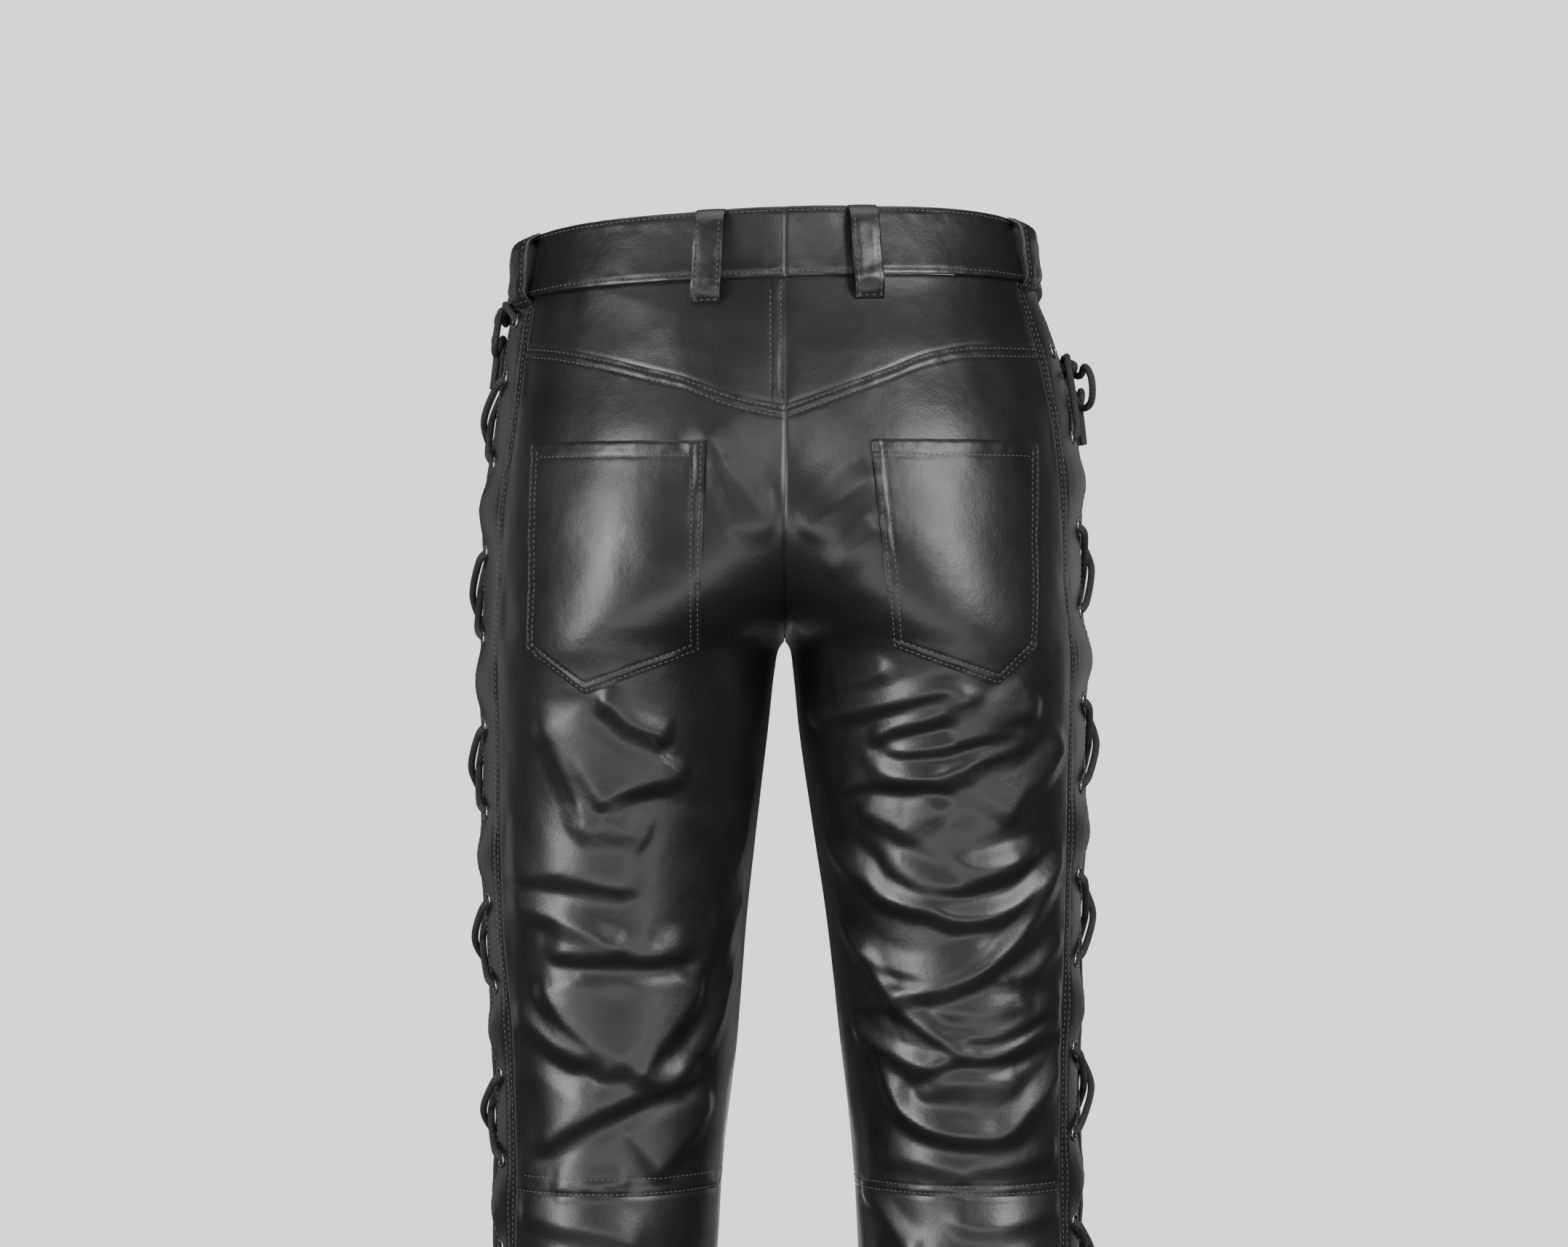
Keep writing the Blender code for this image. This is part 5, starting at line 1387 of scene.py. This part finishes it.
class TROUSERS_OT_belt_loops(bpy.types.Operator):
    """Makes the belt loops, sewn down over the waistband's top edge and under its foot"""

    bl_idname = "trousers.belt_loops"
    bl_label = "Belt Loops"

    def execute(self, context):
        room = BAND_PROUD + LOOP_ROOM + LOOP_CLOTH
        waist_z = np.array(WAIST_LEVEL)
        for loop in BELT_LOOPS:
            if loop.on_strip:
                centre = angle_of_arc(loop.side, loop.face, np.array(loop.across), waist_z)
            else:
                centre = angle_of_x(loop.side, loop.face, np.array(loop.across), waist_z)
            on_band = LAID_ON + float(band_lift(centre, 0)) + LOOP_CLOTH
            on_cloth = LAID_ON + LOOP_CLOTH + (STRIP_LIFT if loop.on_strip else 0)
            lifts = [on_band, room - 2 * MM, room, room, room, room, on_cloth + 4 * MM, on_cloth]
            profile = spaced(LOOP_LENGTH, pitch=1.4 * MM, edge_pitch=0.7 * MM, edge_cells=4)
            bent = smooth_route(np.stack([LOOP_KNOTS, np.array(lifts) / MM / LOOP_BEND], axis=1), 0.02)
            lift = np.interp(profile, bent[:, 0], bent[:, 1] * LOOP_BEND * MM)[:, None]
            half = LOOP_WIDTH / 2 / arc_rate(loop.side, centre, waist_z)
            across = spaced(LOOP_WIDTH, pitch=1.4 * MM, edge_pitch=0.7 * MM, edge_cells=4)
            angle = centre + (2 * across[None, :] - 1) * half
            z = waist_line(loop.side, angle, profile[:, None] * (band_height(angle) + loop.tail))
            points, normals = smooth_points(loop.side, angle + 0 * z, z, lift + 0 * z)
            edges = sewn(first=(0.7, 2.4), last=(0.7, 2.4), top=(0.7,), foot=(0.7, 2.2))
            leather_piece(loop.name, points, normals, LOOP_CLOTH, edges, look("leather"))
        return {"FINISHED"}


class TROUSERS_OT_fly(bpy.types.Operator):
    """Makes the fly flap and the waistband's button"""

    bl_idname = "trousers.fly"
    bl_label = "Fly and Button"

    def execute(self, context):
        down = spaced(FLY_TOP - FLY_FOOT, pitch=2.4 * MM, edge_pitch=1.0 * MM, edge_cells=8)[:, None]
        width = FLY_WIDTH * np.sqrt(1 - (0.93 * smooth_step(0.6, 1, down)) ** 2)
        columns = spaced(FLY_WIDTH, pitch=2.2 * MM, edge_pitch=1.0 * MM, edge_cells=6)
        x = FLY_START + columns[None, :] * width
        top = band_foot(LEFT, np.full((1, 1), -math.pi / 2)) - FLY_GAP
        z = top + down * (FLY_FOOT - top) + 0 * x
        z[0] = band_foot(LEFT, angle_of_x(LEFT, FRONT, x[0], z[0])) - FLY_GAP
        points, normals = cloth_points(LEFT, FRONT, angle_of_x(LEFT, FRONT, x, z), z, LAID_ON + CLOTH)
        edges = sewn(first=(0.45,), last=(0.45, 2.4, 7.4), foot=(0.45, 2.4))
        leather_piece("fly_flap", points, normals, CLOTH, edges, look("leather"))
        make_button()
        return {"FINISHED"}


def make_button():
    """The waistband's button: a turned disc with a rolled rim and a hollow face."""
    z = waist_line(LEFT, np.array([-math.pi / 2]), BAND_HEIGHT_SIDE / 2)
    angle = angle_of_x(RIGHT, FRONT, np.array([BUTTON_ACROSS]), z)
    seat, facing = smooth_points(RIGHT, angle, z, BAND_PROUD + LAP_LIFT + LAID_ON)
    sides = BUTTON_SIDES
    turn = 2 * math.pi * np.arange(sides) / sides
    rings = [np.stack([r * BUTTON_RADIUS * np.cos(turn), r * BUTTON_RADIUS * np.sin(turn),
                       np.full(sides, h * BUTTON_HEIGHT)], axis=1) for r, h in BUTTON_PROFILE]
    across = Vector(facing[0]).to_track_quat("Z", "Y").to_matrix()
    points = np.vstack(rings) @ np.array(across).T + seat[0]
    faces = [tuple(range(sides))[::-1], tuple(range((len(rings) - 1) * sides, len(rings) * sides))]
    for ring, k in product(range(len(rings) - 1), range(sides)):
        here, beside = ring * sides + k, ring * sides + (k + 1) % sides
        faces.append((here, beside, beside + sides, here + sides))
    mesh = bpy.data.meshes.new("waistband_button_metal")
    mesh.from_pydata(points.tolist(), [], faces)
    mesh.shade_smooth()
    mesh.set_sharp_from_angle(angle=SHARP_ANGLE)
    button = link("waistband_button_metal", mesh, look("dark metal"))
    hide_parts("waistband_button")
    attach(button, BODY)


# ---------------------------------------------------------------------------------------------------------
# Laces, eyelets and thread


def tie_end(side, face):
    """One free end of a lace and its half of the tie."""
    lacing = LACINGS[side]
    stand = lacing.tie_stand if face == BACK else 0
    return [(lacing.tie_round + face * p.round * MM, lacing.tie_height + p.up * MM,
             (p.out if face == BACK else p.other_out) * MM + p.stand * stand) for p in reversed(TIE)]


def lace_crossing(start, hand, row, z, next_z):
    """Over the gap to the other strip. The two strands take turns to lie on top."""
    on_top = (row // 2) % 2 == (0 if start == BACK else 1)
    height = LACE_OVER_CROSS if on_top else LACE_UNDER_CROSS
    slant = (z - next_z) / 2 / OUTSIDE_ARC
    return [(hand * arc, (z + next_z) / 2 + slant * arc, height) for arc in (CROSS_ARC, -CROSS_ARC)]


def lace_route(side):
    """The whole lace of one side: from one free end through the tie and down, across at the last row, and up.

    Each point is how far round from the seam line (back is positive), its height and how far it stands out.
    """
    rows = {face: eyelet_rows(side, face) for face in (BACK, FRONT)}
    last = LACINGS[side].count - 1
    halves = {}
    for start in (BACK, FRONT):
        hand, half = start, tie_end(side, start)
        for row in range(LACINGS[side].first_row, last + 1):
            z = rows[hand][row]
            in_hole = (hand * EYELET_ARC, z, HOLE_MIDDLE)
            if crosses(side, row):
                half += [(hand * EYELET_ARC, z + INSIDE_STEP, LACE_INSIDE), in_hole,
                         (hand * OUTSIDE_ARC, z - OUTSIDE_STEP, LACE_OUTSIDE)]
                half += lace_crossing(start, hand, row, z, rows[-hand][row + 1])
                hand = -hand
            else:
                half += [(hand * OUTSIDE_ARC, z + OUTSIDE_STEP, LACE_OUTSIDE), in_hole,
                         (hand * EYELET_ARC, z - INSIDE_STEP, LACE_INSIDE)]
        half += [(hand * arc, rows[hand][last] - INSIDE_STEP, LACE_INSIDE) for arc in LACE_END_ARCS]
        halves[start] = half
    return halves[BACK] + [(0.0, rows[BACK][last] - INSIDE_STEP, LACE_INSIDE)] + list(reversed(halves[FRONT]))


class TROUSERS_OT_laces(bpy.types.Operator):
    """Makes the two laces, each one cord from tail to tail"""

    bl_idname = "trousers.laces"
    bl_label = "Laces"

    def execute(self, context):
        diameter = context.scene.trousers_lacing.lace_diameter
        for side in (LEFT, RIGHT):
            arc, z, out = np.array(lace_route(side)).T
            points, _ = smooth_points(side, angle_round(side, arc, z), z, out)
            route = eased(smooth_route(points, LACE_PITCH), LACE_EASE)
            name = "lace_" + SIDE_NAMES[side]
            lace = tube(name + "_cord", route, diameter / 2, LACE_SIDES, look("lace"))
            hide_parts(name)
            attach(lace, BODY)
        return {"FINISHED"}


class NodeTree:
    """A Geometry Nodes tree with named inputs, built node by node."""

    def __init__(self, name, inputs):
        self.tree = bpy.data.node_groups.new(name, "GeometryNodeTree")
        self.tree.interface.new_socket("Geometry", in_out="INPUT", socket_type="NodeSocketGeometry")
        self.sockets = {label: self.tree.interface.new_socket(label, in_out="INPUT", socket_type=kind)
                        for label, kind in inputs.items()}
        self.tree.interface.new_socket("Geometry", in_out="OUTPUT", socket_type="NodeSocketGeometry")
        self.given = self.tree.nodes.new("NodeGroupInput")

    def node(self, kind, settings=None, inputs=None):
        made = self.tree.nodes.new(kind)
        for name, value in (settings or {}).items():
            setattr(made, name, value)
        for name, value in (inputs or {}).items():
            if isinstance(value, bpy.types.NodeSocket):
                self.tree.links.new(value, made.inputs[name])
            else:
                made.inputs[name].default_value = value
        return made

    def finish(self, instances):
        real = self.node("GeometryNodeRealizeInstances", None, {0: instances})
        painted = self.node("GeometryNodeSetMaterial", None,
                            {"Geometry": real.outputs[0], "Material": self.given.outputs["Material"]})
        self.node("NodeGroupOutput", None, {0: painted.outputs[0]})
        return self

    def run(self, name, guide, values):
        """Runs the tree on a guide mesh and returns the result as a plain mesh object."""
        modifier = guide.modifiers.new(name, "NODES")
        modifier.node_group = self.tree
        for label, value in values.items():
            modifier[self.sockets[label].identifier] = value
        return baked(name, guide)


def stitch_tree():
    """One small spindle of thread for each pitch along the guide lines, turned to run along them."""
    made = NodeTree("Stitches", {"Pitch": "NodeSocketFloat", "Length": "NodeSocketFloat",
                                 "Thickness": "NodeSocketFloat", "Material": "NodeSocketMaterial"})
    given = made.given.outputs
    curve = made.node("GeometryNodeMeshToCurve", None, {0: given["Geometry"]})
    evenly = made.node("GeometryNodeResampleCurve", {"mode": "LENGTH"},
                       {"Curve": curve.outputs[0], "Length": given["Pitch"]})
    spindle = made.node("GeometryNodeMeshIcoSphere", None, {"Radius": 0.5, "Subdivisions": 1})
    size = made.node("ShaderNodeCombineXYZ", None,
                     {0: given["Thickness"], 1: given["Thickness"], 2: given["Length"]})
    along = made.node("GeometryNodeInputTangent")
    turn = made.node("FunctionNodeAlignRotationToVector", {"axis": "Z"}, {"Vector": along.outputs[0]})
    placed = made.node("GeometryNodeInstanceOnPoints", None, {
        "Points": evenly.outputs[0], "Instance": spindle.outputs[0], "Rotation": turn.outputs[0],
        "Scale": size.outputs[0]})
    smooth = made.node("GeometryNodeSetShadeSmooth", None, {0: placed.outputs[0]})
    return made.finish(smooth.outputs[0])


def eyelet_tree():
    """A rolled metal ring on each point, facing the way its `facing` attribute says."""
    made = NodeTree("Eyelets", {"Radius": "NodeSocketFloat", "Rim": "NodeSocketFloat",
                                "Material": "NodeSocketMaterial"})
    given = made.given.outputs
    circle = made.node("GeometryNodeCurvePrimitiveCircle", None,
                       {"Resolution": 24, "Radius": given["Radius"]})
    profile = made.node("GeometryNodeCurvePrimitiveCircle", None, {"Resolution": 8, "Radius": given["Rim"]})
    ring = made.node("GeometryNodeCurveToMesh", None,
                     {"Curve": circle.outputs[0], "Profile Curve": profile.outputs[0]})
    facing = made.node("GeometryNodeInputNamedAttribute", {"data_type": "FLOAT_VECTOR"}, {"Name": "facing"})
    turn = made.node("FunctionNodeAlignRotationToVector", {"axis": "Z"}, {"Vector": facing.outputs[0]})
    placed = made.node("GeometryNodeInstanceOnPoints", None, {
        "Points": given["Geometry"], "Instance": ring.outputs[0], "Rotation": turn.outputs[0],
        "Scale": (1.0, 1.0, 0.75)})
    smooth = made.node("GeometryNodeSetShadeSmooth", None, {0: placed.outputs[0]})
    return made.finish(smooth.outputs[0])


class TROUSERS_OT_eyelets(bpy.types.Operator):
    """Sets a metal eyelet in every hole of the strips"""

    bl_idname = "trousers.eyelets"
    bl_label = "Eyelets"

    def execute(self, context):
        settings = context.scene.trousers_lacing
        places, facing = [], []
        for side, face in product((LEFT, RIGHT), (BACK, FRONT)):
            rows = np.array(eyelet_rows(side, face))
            arc = np.full(len(rows), EYELET_ARC)
            lift = strip_lift(side, rows, arc, 0) + 0.1 * MM
            points, normals = smooth_points(side, angle_of_arc(side, face, arc, rows), rows, lift)
            places.append(points)
            facing.append(normals)
        mesh = bpy.data.meshes.new("eyelet_places")
        mesh.from_pydata(np.vstack(places).tolist(), [], [])
        attribute = mesh.attributes.new("facing", "FLOAT_VECTOR", "POINT")
        attribute.data.foreach_set("vector", np.vstack(facing).ravel())
        eyelets = eyelet_tree().run("eyelets", link("eyelet_places", mesh), {
            "Radius": settings.eyelet_radius, "Rim": settings.eyelet_rim, "Material": look("dark metal")})
        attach(eyelets, BODY)
        return {"FINISHED"}


class TROUSERS_OT_stitching(bpy.types.Operator):
    """Sews every row of stitches that the leather pieces have noted"""

    bl_idname = "trousers.stitching"
    bl_label = "Stitching"

    def execute(self, context):
        settings = context.scene.trousers_sewing
        points, edges = [], []
        for line in SEWN_LINES:
            start = len(points)
            points += line.tolist()
            edges += [(start + i, start + i + 1) for i in range(len(line) - 1)]
        mesh = bpy.data.meshes.new("stitch_lines")
        mesh.from_pydata(points, edges, [])
        stitches = stitch_tree().run("stitching", link("stitch_lines", mesh), {
            "Pitch": settings.pitch, "Length": settings.length, "Thickness": settings.thickness,
            "Material": look("thread")})
        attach(stitches, BODY)
        SEWN_LINES.clear()
        return {"FINISHED"}


# ---------------------------------------------------------------------------------------------------------
# Stage

# Softboxes round the trousers: where each stands as a bearing from the back's middle towards the wearer's
# left and a height angle, its distance, its size, how bright its face is and its colour.
Softbox = namedtuple("Softbox", "name bearing height distance wide tall brightness colour")
SOFTBOXES = [
    Softbox("back_left", 50, 8, 2.6, 0.95, 2.0, 9.5, (1.0, 1.0, 0.99)),
    Softbox("back_right", -43, 18, 2.8, 1.5, 1.45, 8.6, (1.0, 1.0, 0.99)),
    Softbox("back_high", -2, 22, 3.0, 0.55, 0.45, 11.0, (1.0, 1.0, 1.0)),
    Softbox("back_low", -2, -22, 1.2, 2.0, 0.4, 2.2, (1.0, 1.0, 1.0)),
    Softbox("front_left", 128, 2, 2.6, 0.9, 1.6, 0.5, (1.0, 1.0, 0.97)),
    Softbox("front_right", -138, 2, 2.6, 1.3, 1.6, 0.5, (1.0, 1.0, 0.97)),
    Softbox("front_low", 180, -22, 1.2, 0.7, 0.35, 1.2, (1.0, 1.0, 1.0)),
    Softbox("top", 0, 88, 2.4, 2.4, 2.4, 1.6, (1.0, 1.0, 1.0)),
]
LIGHT_TARGET = Vector((0, 0, -0.35))
WATTS_PER_FACE = 4.0
SENSOR = 36.0
CAMERA_ACROSS = 0.0004
ROOM_COLOUR = (0.06, 0.06, 0.055, 1.0)
FLOOR_RADIUS = 3.3
FLOOR_GAP = 1.5 * MM
FLOOR_GLOW = 0.84


def add_softbox(box, strength):
    bearing, height = math.radians(box.bearing), math.radians(box.height)
    level = math.cos(height)
    away = Vector((math.sin(bearing) * level, math.cos(bearing) * level, math.sin(height)))
    light = bpy.data.lights.new(box.name, "AREA")
    light.shape = "RECTANGLE"
    light.size, light.size_y = box.wide, box.tall
    light.energy = WATTS_PER_FACE * strength * box.brightness * box.wide * box.tall
    light.color = box.colour
    lamp = bpy.data.objects.new(box.name, light)
    lamp.location = LIGHT_TARGET + box.distance * away
    lamp.rotation_euler = away.to_track_quat("Z", "Y").to_euler()
    lamp.visible_camera = False
    bpy.context.scene.collection.objects.link(lamp)


def set_world(settings):
    """An even pale backdrop to the camera, and a dim room to everything else."""
    world = bpy.data.worlds.new("studio")
    world.use_nodes = True
    tree = world.node_tree
    seen = tree.nodes["Background"]
    seen.inputs["Color"].default_value = (*settings.backdrop, 1.0)
    room = tree.nodes.new("ShaderNodeBackground")
    room.inputs["Color"].default_value = ROOM_COLOUR
    path = tree.nodes.new("ShaderNodeLightPath")
    mix = tree.nodes.new("ShaderNodeMixShader")
    tree.links.new(path.outputs["Is Camera Ray"], mix.inputs[0])
    tree.links.new(room.outputs[0], mix.inputs[1])
    tree.links.new(seen.outputs[0], mix.inputs[2])
    tree.links.new(mix.outputs[0], tree.nodes["World Output"].inputs["Surface"])
    bpy.context.scene.world = world


def floor_material(settings):
    """Pale seamless paper, faintly mottled."""
    shader = Shader("floor")
    mottle = shader.noise(shader.place(), 0.4, 3.0)
    return shader.finish(Base_Color=shader.mix(mottle * 0.1, settings.floor, (0.1, 0.1, 0.1, 1.0)),
                         Roughness=0.8 + mottle * 0.1, Emission_Color=(*settings.backdrop, 1.0),
                         Emission_Strength=FLOOR_GLOW, Specular_IOR_Level=0.0)


class TROUSERS_OT_stage(bpy.types.Operator):
    """Sets up the camera, the softboxes, the backdrop and the floor"""

    bl_idname = "trousers.stage"
    bl_label = "Stage"

    def execute(self, context):
        settings = context.scene.trousers_stage
        camera = bpy.data.objects.new("camera", bpy.data.cameras.new("camera"))
        camera.data.sensor_width = SENSOR
        camera.data.lens = settings.lens
        camera.location = (CAMERA_ACROSS, settings.distance, settings.height)
        camera.rotation_euler = (math.pi / 2, 0, math.pi)
        context.scene.collection.objects.link(camera)
        context.scene.camera = camera
        for box in SOFTBOXES:
            add_softbox(box, settings.strength)
        set_world(settings)
        context.scene.view_settings.view_transform = "Standard"
        mesh = bpy.data.meshes.new("floor")
        disc = bmesh.new()
        bmesh.ops.create_circle(disc, cap_ends=True, segments=96, radius=FLOOR_RADIUS)
        for vertex in disc.verts:
            vertex.co.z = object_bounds()[0].z - FLOOR_GAP
        disc.to_mesh(mesh)
        disc.free()
        floor = link("floor", mesh, floor_material(settings))
        floor.visible_glossy = False
        floor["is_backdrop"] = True
        return {"FINISHED"}


class TROUSERS_PT_panel(bpy.types.Panel):
    """The trousers' steps and settings."""

    bl_label = "Trousers"
    bl_space_type = "VIEW_3D"
    bl_region_type = "UI"
    bl_category = "Trousers"

    def draw(self, context):
        for step in STEPS:
            self.layout.operator(step.bl_idname)
        for group in SETTINGS:
            settings = getattr(context.scene, group)
            for name in settings.__annotations__:
                self.layout.prop(settings, name)


SETTINGS = {
    "trousers_leather": LeatherSettings,
    "trousers_sewing": SewingSettings,
    "trousers_lacing": LacingSettings,
    "trousers_stage": StageSettings,
}
STEPS = [
    TROUSERS_OT_stage,
    TROUSERS_OT_laces,
    TROUSERS_OT_waistband,
    TROUSERS_OT_yokes,
    TROUSERS_OT_upper_panels,
    TROUSERS_OT_lower_panels,
    TROUSERS_OT_eyelet_strips,
    TROUSERS_OT_tongues,
    TROUSERS_OT_pockets,
    TROUSERS_OT_belt_loops,
    TROUSERS_OT_fly,
    TROUSERS_OT_eyelets,
    TROUSERS_OT_stitching,
]


def register():
    for kind in [*SETTINGS.values(), *STEPS, TROUSERS_PT_panel]:
        bpy.utils.register_class(kind)
    for name, kind in SETTINGS.items():
        setattr(bpy.types.Scene, name, bpy.props.PointerProperty(type=kind))


def unregister():
    for name in SETTINGS:
        delattr(bpy.types.Scene, name)
    for kind in reversed([*SETTINGS.values(), *STEPS, TROUSERS_PT_panel]):
        bpy.utils.unregister_class(kind)


def main():
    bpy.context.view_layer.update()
    register()
    for step in STEPS:
        group, name = step.bl_idname.split(".")
        getattr(getattr(bpy.ops, group), name)()


if __name__ == "__main__":
    main()
